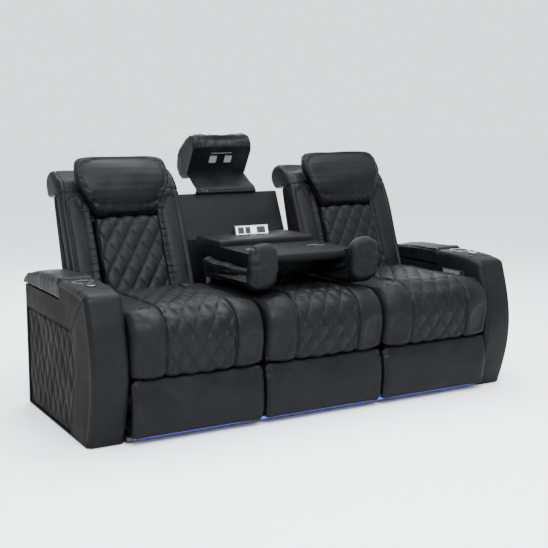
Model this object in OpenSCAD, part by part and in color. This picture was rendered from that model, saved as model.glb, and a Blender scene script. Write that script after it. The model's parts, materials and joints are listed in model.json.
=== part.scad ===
// Three-seat power sofa: two reclining end seats and a middle seat whose back folds down into a console.
// Sizes are millimetres. X runs to the viewer's right, Y to the rear and Z up.

/* [Seats] */
// Width of one seat cushion
seat_w = 596; // [560:1:640]
// Gap between neighbouring seat cushions
seat_gap = 9; // [6:1:20]
// Height of the cushion's crown above the floor
seat_z = 541; // [500:1:580]
// Depth of a seat cushion behind the arm's front corner
seat_depth = 515; // [480:1:540]
// How far the cushion's nose stands forward of the arm's front corner
nose_reach = 80; // [60:1:90]
// Height of the nose's foremost point
nose_z = 425; // [400:1:440]
// Height of the front lip's lower edge
lip_z = 286; // [280:1:300]
// Thickness of the front lip
lip_t = 52; // [40:1:60]
// Height of the seat deck that carries a cushion
deck_z = 400; // [380:1:410]
// How far a cushion's front bows out in the middle
front_bow = 18; // [0:1:24]
// Rise of the cushion's top in the middle
top_crown = 9; // [0:1:16]

/* [Quilting] */
// Width of the quilted strip on seats and backs
quilt_w = 310; // [240:2:360]
// Rise of a stuffed diamond above its stitch lines
diamond_rise = 7; // [2:0.5:10]
// Depth of a stitch line below the padding
stitch_depth = 4; // [1:0.5:6]

/* [Backs] */
// Lean of the upright back from the vertical, in degrees
back_lean = 23; // [15:1:30]
// Distance of the recline hinge behind the arm's front corner
recline_y = 560; // [550:1:580]
// Height of the recline hinge
recline_z = 430; // [420:1:440]
// Height of the back above its hinge, along its lean
back_h = 704; // [660:1:740]
// Top of the lumbar pad above the hinge, along the lean
lumbar_top = 428; // [400:1:440]
// How far the lumbar pad stands forward of the hinge line
lumbar_t = 42; // [30:1:50]
// Radius of the rolled top of a back
roll_r = 63; // [50:1:70]
// Crown of the side bolsters
bolster_crown = 28; // [10:1:34]

/* [Headrests] */
// Height of a headrest
headrest_h = 284; // [240:1:300]
// Greatest width of a headrest
headrest_w = 450; // [380:2:480]
// Depth of a headrest at its fullest
headrest_t = 84; // [70:1:90]

/* [Footrests] */
// Height of a footrest pad
footrest_h = 238; // [200:1:245]
// Height of a closed pad's lower edge above the floor
footrest_z = 32; // [30:1:40]
// Thickness of a pad at its upper and lower edges
footrest_edge_t = 22; // [16:1:26]
// Extra thickness of a pad at mid height
footrest_bulge = 27; // [10:1:34]
// Length of each footrest link between its pins
link_len = 200; // [195:1:205]
// Angle of the closed links below the horizontal, in degrees
link_closed = 85; // [80:0.5:86]

/* [Arms] */
// Width of an arm
arm_w = 160; // [150:1:180]
// Depth of an arm at its foot
arm_depth = 778; // [760:1:800]
// Height of the arm's front top corner
arm_z = 612; // [590:1:640]
// Rise of the arm's deck from its front corner to the lid
arm_rise = 22; // [10:1:30]
// How far the arm's front bows forward at mid height
arm_bow = 70; // [40:1:74]
// Width of the plain leather band round the arm's front
front_band = 202; // [160:1:230]
// Height of the quilted side panel's upper edge
quilt_top = 450; // [420:1:470]
// Height of the storage lid's lower edge
lid_z = 553; // [545:1:560]
// Height of the storage lid's crown above its lower edge
lid_h = 96; // [80:1:105]
// Place of the storage lid's front end
lid_front = 306; // [300:1:330]
// How far the lid hangs over behind the arm
lid_hang = 28; // [20:1:34]

/* [Cups and controls] */
// Bore radius of a cup holder
cup_r = 42; // [38:0.5:46]
// Depth of an arm's cup holder
cup_depth = 76; // [60:1:80]
// Place of the arm's cup holder behind the front corner
cup_y = 230; // [220:1:240]
// Bore radius of the accessory dock
dock_r = 12; // [8:0.5:14]
// Depth of the accessory dock's bore
dock_depth = 60; // [40:1:70]
// Place of the accessory dock behind the front corner
dock_y = 135; // [120:1:150]
// Length of the control panel
panel_l = 167; // [150:1:180]
// Height of the control panel
panel_h = 36; // [30:1:40]
// Place of the control panel's front end
panel_y = 97; // [80:1:110]
// Height of the control panel's lower edge
panel_z = 517; // [500:1:520]

/* [Console] */
// Height of the folded console's table
table_z = 706; // [700:1:712]
// Thickness of the table
table_t = 38; // [34:1:40]
// Place of the table's front edge
table_front = 66; // [64:1:90]
// Width of the table
table_w = 512; // [480:2:512]
// Distance of the console hinge behind the arm's front corner
console_y = 560; // [555:1:565]
// Height of the console hinge
console_hinge_z = 577; // [574:1:580]
// Thickness of the raised pad on the table
shelf_t = 31; // [24:1:32]
// Length of the raised pad
shelf_l = 250; // [230:1:255]
// Place of the raised pad's front edge
shelf_front = 446; // [440:1:460]
// Place of the table's cups behind its front edge
table_cup_y = 210; // [190:1:215]
// Bore radius of a table cup
table_cup_r = 39; // [34:0.5:40]
// Distance of a table cup from the middle
table_cup_x = 160; // [150:1:165]
// Width of the outlet pod
pod_w = 184; // [160:2:190]
// Height of the opened outlet pod
pod_h = 43; // [34:1:44]

/* [Middle back] */
// Height of the fixed rear panel
panel_top = 913; // [900:1:920]
// Width of the fixed rear panel in the middle
panel_w = 584; // [560:2:590]
// Width of the flipped-up middle headrest
flip_w = 328; // [300:2:360]
// Height of the flipped-up middle headrest
flip_h = 234; // [210:1:240]

/* [Hidden] */

leather = [0.17, 0.17, 0.18];
leather_side = [0.20, 0.19, 0.19];
steel = [0.62, 0.63, 0.65];
black_steel = [0.12, 0.12, 0.13];
timber = [0.66, 0.52, 0.36];

// One overrun serves every cut
cut = 1;
// Clearance of a soft or loose piece from its neighbour
air = 0.3;
// Facets of round things
fine = 48;
$fn = fine;

// Places shared by several pieces
pitch = seat_w + seat_gap;
arm_gap = 2;
arm_in = 1.5 * pitch - seat_gap / 2 + arm_gap;
arm_out = arm_in + arm_w;
arm_mid = arm_in + arm_w / 2;
glide_h = 12;
board_t = 16;
plate_t = 5;
strip_gap = 1;
pin_r = 5;
pin_play = 0.06;
rail_w = 18;
rail_z = 42;
toe_z = 28;
flip_y = 890;
flip_z = 930;
flip_reach_share = 1.094;
front_reach = nose_reach + front_bow + diamond_rise;
rear_reach = flip_y + flip_h * flip_reach_share;
mid_y = (rear_reach - front_reach) / 2;

function lerp(a, b, k) = a + (b - a) * k;

// Points of an arc in a plane, from one angle to another
function arc(c, rx, ry, a0, a1, steps) =
    [for (k = [0 : steps]) let (a = lerp(a0, a1, k / steps)) c + [rx * cos(a), ry * sin(a)]];

// Outward direction at a point of an anticlockwise outline
function outward(p, i) =
    let (n = len(p), d = p[(i + 1) % n] - p[(i + n - 1) % n]) [d[1], -d[0]] / norm(d);

// An outline whose points are moved outwards by their own amounts
function swollen(p, amounts) = [for (i = [0 : len(p) - 1]) p[i] + amounts[i] * outward(p, i)];

// The two triangles of a wall, split along the stitch line that runs through even corners
function wall_faces(i, j, cols) =
    let (a = i * cols + j, b = i * cols + (j + 1) % cols, c = a + cols, d = b + cols)
    (i + j) % 2 == 0 ? [[a, d, b], [a, c, d]] : [[a, c, b], [b, c, d]];

// End faces of a long bent outline: a strip of triangles between its two flanks
function zipped(cols) = [for (j = [0 : floor(cols / 2) - 1]) let (k = cols - 2 - j) each concat(
    j + 1 < k ? [[j, j + 1, k]] : [],
    j < k ? [[j, k, k + 1]] : []
)];

// A closed solid through a row of outlines that have as many points each
module skin(rings, ends = []) {
    rows = len(rings);
    cols = len(rings[0]);
    walls = [for (i = [0 : rows - 2]) for (j = [0 : cols - 1]) each wall_faces(i, j, cols)];
    first = len(ends) > 0 ? ends : [[for (j = [0 : cols - 1]) j]];
    last = [for (face = first) [for (k = [len(face) - 1 : -1 : 0]) (rows - 1) * cols + face[k]]];
    polyhedron([for (ring = rings) each ring], concat(walls, first, last));
}

// A side outline in Y and Z, placed at one X
function at_x(outline, x) = [for (p = outline) [x, p[0], p[1]]];

// A plate cut from a side outline, between two places on X
module side_slab(x0, x1) {
    translate([x0, 0, 0]) rotate([90, 0, 90]) linear_extrude(x1 - x0) children();
}

// A round bar or bore along X
module bar_x(x0, x1, y, z, r) {
    translate([x0, y, z]) rotate([0, 90, 0]) cylinder(h = x1 - x0, r = r);
}

// A box between two corners
module block(low, high) {
    translate(low) cube(high - low);
}

// A flat link in the plane of Y and Z: round ends on a shank that is a little narrower
shank_share = 0.92;

module strip(y0, z0, y1, z1, r) {
    run = norm([y1 - y0, z1 - z0]);
    half = r * shank_share;
    translate([y0, z0]) circle(r);
    translate([y1, z1]) circle(r);
    translate([y0, z0]) rotate(atan2(z1 - z0, y1 - y0)) translate([0, -half]) square([run, 2 * half]);
}

// The same piece on both sides of the middle
module both() {
    children();
    mirror([1, 0, 0]) children();
}

// The right-hand piece, or its mirror image on the left
module on_side(side) {
    if (side < 0) mirror([1, 0, 0]) children();
    else children();
}

// The back's own frame: origin on the recline hinge, Z up along the lean, Y out of its rear
module back_space() {
    translate([0, recline_y, recline_z]) rotate([-back_lean, 0, 0]) children();
}

// Stitch lines and stuffed diamonds: even corners are drawn in and odd ones stand out
function diamond(i, j) = (i + j) % 2 == 0 ? -stitch_depth : diamond_rise;

// Seat cushions
quilt_cols = 8;
seat_top_rows = 9;
seat_nose_rows = 3;
seat_front_rows = 2;
nose_h = seat_z - nose_z;
lip_back = 18;
seat_back_drop = 12;
seat_back_z = seat_z - seat_back_drop;
lip_corner = 8;

function seat_soft() = concat(
    [for (k = [0 : seat_top_rows - 1]) let (u = k / seat_top_rows)
        [lerp(seat_depth, 0, u), lerp(seat_back_z, seat_z, sin(u * 90))]],
    arc([0, nose_z], nose_reach, nose_h, 90, 180, seat_nose_rows),
    [for (k = [1 : seat_front_rows]) let (u = k / seat_front_rows)
        [lip_back * u * u - nose_reach, lerp(nose_z, lip_z + lip_corner, u)]]
);

function seat_outline() = concat(
    seat_soft(),
    [
        [lip_back + lip_corner - nose_reach, lip_z],
        [lip_back / 2 + lip_t - nose_reach, lip_z],
        [lip_back / 2 + lip_t - nose_reach, deck_z],
        [seat_depth, deck_z]
    ]
);

// Crown of the seat at one share of its half width: the front bows more than the top
function seat_amount(share, j) =
    let (soft = len(seat_soft()), front = j >= seat_top_rows)
    j >= soft ? 0 : (front ? front_bow : top_crown) * (1 - share * share);

seat_edge_r = 26;
seam_depth = 6;
// Stations across half a seat outside the quilted strip, as shares of the plain side bolster
plain_shares = [1, 0.93, 0.82, 0.45];
// How far each of those stations is drawn in, as shares of the edge radius
plain_drop_shares = [1, 0.45, 0.05, -0.3];

function seat_ring(x, drop, col) =
    let (outline = seat_outline(), soft = len(seat_soft()), share = 2 * x / seat_w)
    at_x(swollen(outline, [for (j = [0 : len(outline) - 1]) j >= soft ? 0
        : seat_amount(share, j) - drop + (col < 0 ? 0 : diamond(col, j))]), x);

// End faces: a fan from the hollow corner behind the lip, the rear corner, and the lip's corner
function seat_ends() =
    let (cols = len(seat_outline()), hub = cols - 2, tip = len(seat_soft()))
    concat(
        [for (k = [1 : tip - 2]) [hub, k, k + 1]],
        [[hub, cols - 1, 1], [cols - 1, 0, 1], [hub, tip - 1, tip + 1], [tip - 1, tip, tip + 1]]
    );

module cushion() {
    plain_w = (seat_w - quilt_w) / 2;
    count = len(plain_shares);
    sides = [for (k = [0 : count - 1])
        [quilt_w / 2 + plain_w * plain_shares[k], seat_edge_r * plain_drop_shares[k]]];
    skin(concat(
        [for (k = [0 : count - 1]) seat_ring(-sides[k][0], sides[k][1], -1)],
        [seat_ring(-quilt_w / 2, seam_depth, -1)],
        [for (c = [1 : quilt_cols - 1]) seat_ring(quilt_w * (c / quilt_cols - 0.5), 0, c)],
        [seat_ring(quilt_w / 2, seam_depth, -1)],
        [for (k = [count - 1 : -1 : 0]) seat_ring(sides[k][0], sides[k][1], -1)]
    ), seat_ends());
}

module seat_cushion(side) {
    color(leather) translate([side * pitch, 0, 0]) cushion();
}

module centre_seat_cushion() {
    color(leather) cushion();
}

// Seat frame of a reclining seat: deck, side plates with the link and recline pins, legs and shoes
link_pin_y = 135;
link_pin_z = 241;
link_w = 11;
plate_in = 83;
plate_x = seat_w / 2 - plate_in;
plate_r = 20;
deck_t = 18;
deck_inset = 13;
deck_play = 6;
deck_front = lip_t + lip_back / 2 - nose_reach + deck_play;
leg_in = 40;
leg_x = seat_w / 2 - leg_in;
leg_w = 12;
leg_y0 = 190;
leg_y1 = 480;
head_t = 2;
head_r = 9;
recline_pin_r = 7;
link_a_x = plate_x - plate_t - strip_gap;
link_b_x = link_a_x - plate_t - strip_gap;
bracket_x = link_b_x - plate_t - strip_gap;
recline_plate_x = plate_x + plate_t + strip_gap;
tube_r = 9;
hanger_w = 46;
hanger_shares = [0.30, 0.72];

module seat_side_plate() {
    side_slab(plate_x, plate_x + plate_t) {
        strip(link_pin_y, link_pin_z, link_pin_y, deck_z - deck_t - 2 * plate_r, plate_r);
        translate([link_pin_y - 1.5 * plate_r, deck_z - deck_t - 3 * plate_r])
            square([recline_y - link_pin_y - plate_r, 3 * plate_r + cut]);
        strip(seat_depth + air, deck_z - deck_t - plate_r, recline_y, recline_z, plate_r);
    }
    bar_x(link_a_x - strip_gap, plate_x + cut, link_pin_y, link_pin_z, pin_r);
    bar_x(link_a_x - strip_gap - head_t, link_a_x - strip_gap, link_pin_y, link_pin_z, head_r);
    bar_x(plate_x, recline_plate_x + plate_t + strip_gap, recline_y, recline_z, recline_pin_r);
    bar_x(recline_plate_x + plate_t + strip_gap, recline_plate_x + plate_t + strip_gap + head_t,
        recline_y, recline_z, recline_pin_r + head_t);
}

module seat_leg() {
    block([leg_x, leg_y0, rail_z + air], [leg_x + leg_w, leg_y1, deck_z - deck_t + cut]);
}

module seat_frame(side) {
    deck_w = seat_w - 2 * deck_inset;
    color(black_steel) translate([side * pitch, 0, 0]) {
        block([-deck_w / 2, deck_front, deck_z - deck_t], [deck_w / 2, seat_depth, deck_z - air]);
        both() seat_side_plate();
        both() seat_leg();
        for (share = hanger_shares) {
            y = lerp(leg_y0, leg_y1, share);
            block([-plate_x - cut, y, deck_z - deck_t - hanger_w],
                [plate_x + cut, y + board_t, deck_z - deck_t + cut]);
        }
    }
}

// Footrest: two pairs of links and the bracket that carries the pad
closed_run = link_len * cos(link_closed);
closed_drop = link_len * sin(link_closed);
knee_y = link_pin_y - closed_run;
knee_z = link_pin_z - closed_drop;
wrist_y = link_pin_y - 2 * closed_run;
wrist_z = link_pin_z;
tube_share = 0.36;

module drilled_link(x, y0, z0, y1, z1) {
    difference() {
        side_slab(x, x + plate_t) strip(y0, z0, y1, z1, link_w);
        bar_x(x - cut, x + plate_t + cut, y0, z0, pin_r + pin_play);
    }
}

module footrest_rear_links(side) {
    tube_y = lerp(link_pin_y, knee_y, tube_share);
    tube_z = lerp(link_pin_z, knee_z, tube_share);
    color(steel) translate([side * pitch, 0, 0]) {
        both() {
            drilled_link(link_a_x, link_pin_y, link_pin_z, knee_y, knee_z);
            bar_x(link_b_x - strip_gap, link_a_x + cut, knee_y, knee_z, pin_r);
            bar_x(link_b_x - strip_gap - head_t, link_b_x - strip_gap, knee_y, knee_z, head_r);
        }
        bar_x(-link_a_x - cut, link_a_x + cut, tube_y, tube_z, tube_r);
    }
}

module footrest_front_links(side) {
    color(steel) translate([side * pitch, 0, 0]) both() {
        drilled_link(link_b_x, knee_y, knee_z, wrist_y, wrist_z);
        bar_x(bracket_x - strip_gap, link_b_x + cut, wrist_y, wrist_z, pin_r);
        bar_x(bracket_x - strip_gap - head_t, bracket_x - strip_gap, wrist_y, wrist_z, head_r);
    }
}

pad_set_back = 13;
pad_back_y = footrest_edge_t - nose_reach + pad_set_back;
pad_front_y = pad_back_y - footrest_edge_t;
bracket_foot = 100;
bracket_drop = 26;
flange_w = 30;
flange_t = 3;

module footrest_bracket(side) {
    color(steel) translate([side * pitch, 0, 0]) both() {
        difference() {
            side_slab(bracket_x, bracket_x + plate_t) {
                translate([wrist_y, wrist_z]) circle(link_w);
                polygon([
                    [wrist_y, wrist_z + link_w * shank_share], [pad_back_y + air, wrist_z - bracket_drop],
                    [pad_back_y + air, wrist_z - bracket_drop - bracket_foot],
                    [pad_back_y + bracket_drop, wrist_z - bracket_drop - bracket_foot],
                    [wrist_y, wrist_z - link_w * shank_share]
                ]);
            }
            bar_x(bracket_x - cut, bracket_x + plate_t + cut, wrist_y, wrist_z, pin_r + pin_play);
        }
        block([bracket_x - flange_w, pad_back_y + air, wrist_z - bracket_drop - bracket_foot],
            [bracket_x + cut, pad_back_y + air + flange_t, wrist_z - bracket_drop]);
    }
}

pad_rows = 6;
pad_lean = 11;
pad_top_t = 10;
pad_chamfer = 28;

function pad_outline() =
    let (top = footrest_z + footrest_h, bow = footrest_bulge)
    concat(
        [[pad_back_y, top - pad_chamfer], [pad_front_y + pad_top_t, top]],
        [for (k = [0 : pad_rows]) let (u = k / pad_rows)
            [pad_front_y - bow * sin(180 * u), lerp(top, footrest_z, u)]],
        [[pad_back_y - pad_lean, footrest_z], [pad_back_y, footrest_z + pad_lean]]
    );

// Stations across half a footrest pad, and how far each is drawn in, as shares
pad_x_shares = [1, 0.975, 0.93, 0.6];
pad_drop_shares = [1, 0.45, 0.1, 0];
pad_edge_r = 18;
pad_gap = 6;
pad_w = seat_w - pad_gap;

function pad_ring(share, drop) =
    let (outline = pad_outline(), last = pad_rows + 1)
    at_x(swollen(outline, [for (j = [0 : len(outline) - 1]) j > 1 && j <= last ? -drop : 0]),
        share * pad_w / 2);

module rest_pad() {
    last = len(pad_x_shares) - 1;
    skin(concat(
        [for (k = [0 : last]) pad_ring(-pad_x_shares[k], pad_edge_r * pad_drop_shares[k])],
        [for (k = [last : -1 : 0]) pad_ring(pad_x_shares[k], pad_edge_r * pad_drop_shares[k])]
    ));
}

module footrest_pad(side) {
    color(leather) translate([side * pitch, 0, 0]) rest_pad();
}

module centre_front_panel() {
    color(leather) rest_pad();
}

// Power drive under a reclining seat: gearbox, actuator tube and its clevis
motor_y = 300;
motor_z = 268;
motor_r = 24;
motor_l = 120;
motor_w = 70;
rod_r = 8;
rod_l = 132;

module motor(side) {
    color(black_steel) translate([side * pitch, 0, 0]) {
        block([-motor_w / 2, motor_y, motor_z],
            [motor_w / 2, motor_y + motor_l, deck_z - deck_t - hanger_w - air]);
        translate([0, motor_y + motor_l, motor_z + motor_r + cut]) rotate([90, 0, 0])
            cylinder(h = motor_l + rod_l / 3, r = motor_r);
    }
    color(steel) translate([side * pitch, motor_y - rod_l / 3 + cut, motor_z + motor_r + cut])
        rotate([90, 0, 0]) cylinder(h = rod_l / 2, r = rod_r);
}

// Reclining back: frame, bolsters with the rolled top, lumbar pad and rear cover
upright_in = 62;
upright_x = seat_w / 2 - upright_in;
upright_w = 26;
upright_y0 = 39;
upright_t = 21;
upright_s0 = 22;
upright_s1 = 548;
cross_shares = [0.10, 0.42, 0.74, 0.94];
cross_w = 44;
pads_s = 42;
backing_y = 27;
backing_t = 8;
neck_s = 572;
roll_y = 97;
roll_s = back_h - roll_r;
bolster_front = 10;

// Headrest pivot in the back's frame
pivot_s = 462;
pivot_y = -22;
pivot_pin_r = 5;
knuckle_r = 9;
knuckle_half = 50;
lug_x = 53;
lug_t = 5;
tongue_t = 4;
tongue_l = 92;

module back_lug() {
    side_slab(lug_x, lug_x + lug_t) {
        strip(pivot_y, pivot_s, upright_y0 + board_t / 2, pivot_s - knuckle_r, knuckle_r);
    }
}

module back_side_plate() {
    difference() {
        side_slab(recline_plate_x, recline_plate_x + plate_t) {
            strip(0, 0, upright_y0 + plate_t, upright_s0, plate_r - plate_t);
            translate([upright_y0, upright_s0]) square([upright_t, 4 * plate_r]);
        }
        bar_x(recline_plate_x - cut, recline_plate_x + plate_t + cut, 0, 0, recline_pin_r + pin_play);
    }
    block([recline_plate_x, upright_y0, upright_s0 + 2 * plate_r],
        [upright_x + cut, upright_y0 + upright_t, upright_s0 + 4 * plate_r]);
    block([upright_x, upright_y0, upright_s0], [upright_x + upright_w, upright_y0 + upright_t, upright_s1]);
}

module back_frame(side) {
    color(black_steel) translate([side * pitch, 0, 0]) back_space() {
        both() back_side_plate();
        for (share = cross_shares) {
            s = lerp(upright_s0 + plate_r, upright_s1 - cross_w, share);
            block([-upright_x - cut, upright_y0, s], [upright_x + cut, upright_y0 + board_t, s + cross_w]);
        }
        both() back_lug();
        block([-lug_x - lug_t, upright_y0, pivot_s - 4 * knuckle_r],
            [lug_x + lug_t, upright_y0 + board_t, pivot_s + 2 * knuckle_r]);
        bar_x(-lug_x - lug_t, lug_x + lug_t, pivot_y, pivot_s, pivot_pin_r);
    }
}

// Side outline of a back: the roll, then the front face from top to bottom, then the inner side
roll_rows = 7;
roll_first_turn = -60;
roll_last_turn = 160;
neck_rise = 2;
front_s_shares = [0.80, 0.68, 0.60, 0.46, 0.32, 0.18, 0.075];
front_y_shares = [0.10, -0.6, -0.9, -1, -1, -0.7, 0];

function back_outline(open) = concat(
    arc([roll_y, roll_s], roll_r, roll_r, roll_first_turn, roll_last_turn, roll_rows),
    [for (k = [0 : len(front_s_shares) - 1])
        [lerp(backing_y - air, bolster_front * front_y_shares[k], open), back_h * front_s_shares[k]]],
    [
        [lerp(backing_y - air, 4 * air, open), pads_s], [backing_y + backing_t, pads_s],
        [backing_y + backing_t, neck_s], [roll_y - roll_r / 2, neck_s + neck_rise]
    ]
);

// End faces: a fan from the neck over the roll, and one from the hollow corner below it
function back_ends() =
    let (cols = len(back_outline(1)), hub = cols - 2, turn = 3)
    concat(
        [for (k = [0 : turn - 1]) [cols - 1, k, k + 1]],
        [[hub, cols - 1, turn]],
        [for (k = [turn : hub - 2]) [hub, k, k + 1]]
    );

// Stations across a bolster from its outer to its inner side, and the bolster's crown at each
wing_x_shares = [1, 0.923, 0.735, 0.47, 0.205, 0];
wing_crown_shares = [-0.5, -0.05, 0.6, 1, 0.8, 0.1];
roll_inset_shares = [0.26, 0.04, 0, 0, 0, 0];
// How much of the crown each point of the front face takes, from the roll down
front_crown_shares = [0.3, 0.15, 0.4, 1, 1, 1, 1];
corner_r = 56;
corner_drop_share = 0.8;

function corner_drop(x) =
    let (half = seat_w / 2, d = abs(x) - half + corner_r)
    d <= 0 ? 0 : corner_r - sqrt(max(0, corner_r * corner_r - d * d));

function back_ring(x, open, crown, inset) =
    let (outline = back_outline(open), roll_n = roll_rows + 1, front_n = len(front_s_shares))
    at_x([for (j = [0 : len(outline) - 1])
        let (
            soft = j >= roll_n && j < roll_n + front_n ? front_crown_shares[j - roll_n] : 0,
            swell = soft * crown - (j < roll_n ? inset * roll_r : 0),
            moved = outline[j] + swell * outward(outline, j)
        )
        [moved[0], moved[1] - (j <= roll_n ? corner_drop(x) * corner_drop_share : 0)]], x);

module wings() {
    last = len(wing_x_shares) - 1;
    places = [for (share = wing_x_shares) lerp(quilt_w / 2 + wing_gap, seat_w / 2, share)];
    inner = places[last] - seam_depth;
    skin(concat(
        [for (k = [0 : last]) back_ring(-places[k], 1,
            bolster_crown * wing_crown_shares[k], roll_inset_shares[k])],
        [for (x = [-inner, 0, inner]) back_ring(x, 0, 0, 0)],
        [for (k = [last : -1 : 0]) back_ring(places[k], 1,
            bolster_crown * wing_crown_shares[k], roll_inset_shares[k])]
    ), back_ends());
}

module back_wings(side) {
    color(leather) translate([side * pitch, 0, 0]) back_space() difference() {
        wings();
        both() block([lug_x - lug_play, backing_y - lug_play, pivot_s - 2 * knuckle_r],
            [lug_x + lug_t + lug_play, backing_y + backing_t + cut, pivot_s + knuckle_r]);
    }
}

lumbar_rows = 6;
lumbar_edge = 10;
lumbar_in = 14;

function lumbar_outline() = concat(
    [[backing_y - 2 * air, lumbar_top], [lumbar_edge - lumbar_t, lumbar_top]],
    [for (k = [0 : lumbar_rows])
        [-lumbar_t, lerp(lumbar_top - lumbar_edge, pads_s + lumbar_edge, k / lumbar_rows)]],
    [[lumbar_edge - lumbar_t, pads_s], [backing_y - 2 * air, pads_s]]
);

function lumbar_ring(outline, x, col, edge) =
    at_x(swollen(outline, [for (j = [0 : len(outline) - 1])
        j < 1 || j > lumbar_rows + 3 ? 0 : (edge ? -lumbar_in
        : (j < 2 || j > lumbar_rows + 2 ? 0 : diamond(col, j)))]), x);

module quilted_pad(outline) {
    half = quilt_w / 2 - 2 * air;
    skin(concat(
        [lumbar_ring(outline, -half, 0, true)],
        [for (c = [1 : quilt_cols - 1]) lumbar_ring(outline, half * (2 * c / quilt_cols - 1), c, false)],
        [lumbar_ring(outline, half, 0, true)]
    ));
}

module lumbar_pad(side) {
    color(leather) translate([side * pitch, 0, 0]) back_space() quilted_pad(lumbar_outline());
}

// Rear cover of a back: a tapering body behind the bolsters, with a pocket for the frame
cover_low = 140;
cover_high = 78;
cover_fall = 6;
cover_s0 = 24;
cover_mid_share = 0.45;
cover_belly = 1.2;

module cover_outline() {
    front = backing_y + backing_t + air;
    belly = lerp(cover_low, cover_high, cover_mid_share) + cover_belly;
    polygon([
        [front, cover_s0], [cover_low, cover_s0],
        [belly, lerp(cover_s0, neck_s, cover_mid_share)],
        [cover_high, neck_s - cover_fall], [front, neck_s - air]
    ]);
}

module back_cover(side) {
    half = seat_w / 2;
    color(leather_side) translate([side * pitch, 0, 0]) back_space() difference() {
        side_slab(-half, half) cover_outline();
        block([-upright_x - upright_w - air, 0, cover_s0 - cut],
            [upright_x + upright_w + air, upright_y0 + upright_t + air, upright_s1 + air]);
    }
}

// Headrests of the end seats: sections stacked along the lean
hr_s_shares = [0, 0.06, 0.16, 0.30, 0.48, 0.68, 0.84, 0.94, 1];
hr_w_shares = [0.62, 0.68, 0.72, 0.84, 0.96, 1, 0.97, 0.90, 0.74];
hr_front_shares = [0.02, 0.34, 0.62, 0.86, 1, 0.96, 0.74, 0.46, 0.20];
hr_rear_shares = [0.10, 0.26, 0.17, 0, 0, 0, 0, -0.02, -0.1];
hr_foot = 24;
hr_s = pivot_s - hr_foot;
hr_y = -18;
hr_cols = 18;
hr_power = 0.62;
hr_proud = 4;
lug_play = 3;

function bent(v, power) = sign(v) * pow(abs(v), power);

function hr_ring(k) =
    let (
        front = hr_y - headrest_t * hr_front_shares[k] - hr_proud,
        rear = hr_y + headrest_t * hr_rear_shares[k] - air,
        half = headrest_w / 2 * hr_w_shares[k],
        mid = (front + rear) / 2,
        deep = (rear - front) / 2,
        s = hr_s + headrest_h * hr_s_shares[k]
    )
    [for (j = [0 : hr_cols - 1]) let (a = 360 * j / hr_cols)
        [half * bent(cos(a), hr_power), mid + deep * bent(sin(a), hr_power), s]];

module headrest_form() {
    skin([for (k = [0 : len(hr_s_shares) - 1]) hr_ring(k)]);
}

module headrest_pad(side) {
    slot_top = pivot_s + knuckle_r + lug_play;
    color(leather) translate([side * pitch, 0, 0]) back_space() difference() {
        headrest_form();
        bar_x(-knuckle_half - air, knuckle_half + air, pivot_y, pivot_s, knuckle_r + air);
        block([-knuckle_half - air, pivot_y - tongue_t / 2 - air, pivot_s],
            [knuckle_half + air, pivot_y + tongue_t / 2 + air, pivot_s + tongue_l + air]);
        both() block([knuckle_half - cut, pivot_y - knuckle_r - lug_play, hr_s - cut],
            [lug_x + lug_t + lug_play, pivot_y + 4 * knuckle_r, slot_top]);
    }
}

module headrest_bracket(side) {
    color(steel) translate([side * pitch, 0, 0]) back_space() difference() {
        union() {
            bar_x(-knuckle_half, knuckle_half, pivot_y, pivot_s, knuckle_r);
            block([-knuckle_half, pivot_y - tongue_t / 2, pivot_s],
                [knuckle_half, pivot_y + tongue_t / 2, pivot_s + tongue_l]);
        }
        bar_x(-knuckle_half - cut, knuckle_half + cut, pivot_y, pivot_s, pivot_pin_r + pin_play);
    }
}

// Arms: timber box with the storage well, leather cover, quilted side, panel and rockers
cover_wall = 16;
well_wall = 14;
well_floor = 300;
well_y0 = 334;
well_y1 = 742;
frame_front = 20;
plinth_in = 15;
rim_z = lid_z - air;
flange_r = 50;
flange_h = 3;
cup_wall = 1.5;
dock_flange_r = 22;
dock_wall = 3;
edge_round = 24;
arm_rows = 12;
band_proud = 7;
quilt_rows_arm = 6;
quilt_cols_arm = 16;
quilt_swell = 3;
quilt_flat_share = 0.7;
deck_top = arm_z + arm_rise;
lid_gap = 3;
deck_share = 0.75;

function arm_front_at(z) = -arm_bow * sin(180 * z / arm_z);

module arm_outline() {
    polygon(concat(
        [for (k = [0 : arm_rows]) let (z = lerp(glide_h / 3, arm_z, k / arm_rows)) [arm_front_at(z), z]],
        [
            [front_band / 2, lerp(arm_z, deck_top, deck_share)], [front_band, deck_top],
            [lid_front - lid_gap, deck_top],
            [lid_front - lid_gap, rim_z], [arm_depth, rim_z], [arm_depth, glide_h / 3]
        ]
    ));
}

module quilt_outline(grow) {
    polygon(concat(
        [for (k = [0 : quilt_rows_arm]) let (z = lerp(glide_h - grow, quilt_top + grow, k / quilt_rows_arm))
            [front_band + arm_front_at(z) - grow, z]],
        [[arm_depth - cover_wall + grow, quilt_top + grow], [arm_depth - cover_wall + grow, glide_h - grow]]
    ));
}

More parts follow.
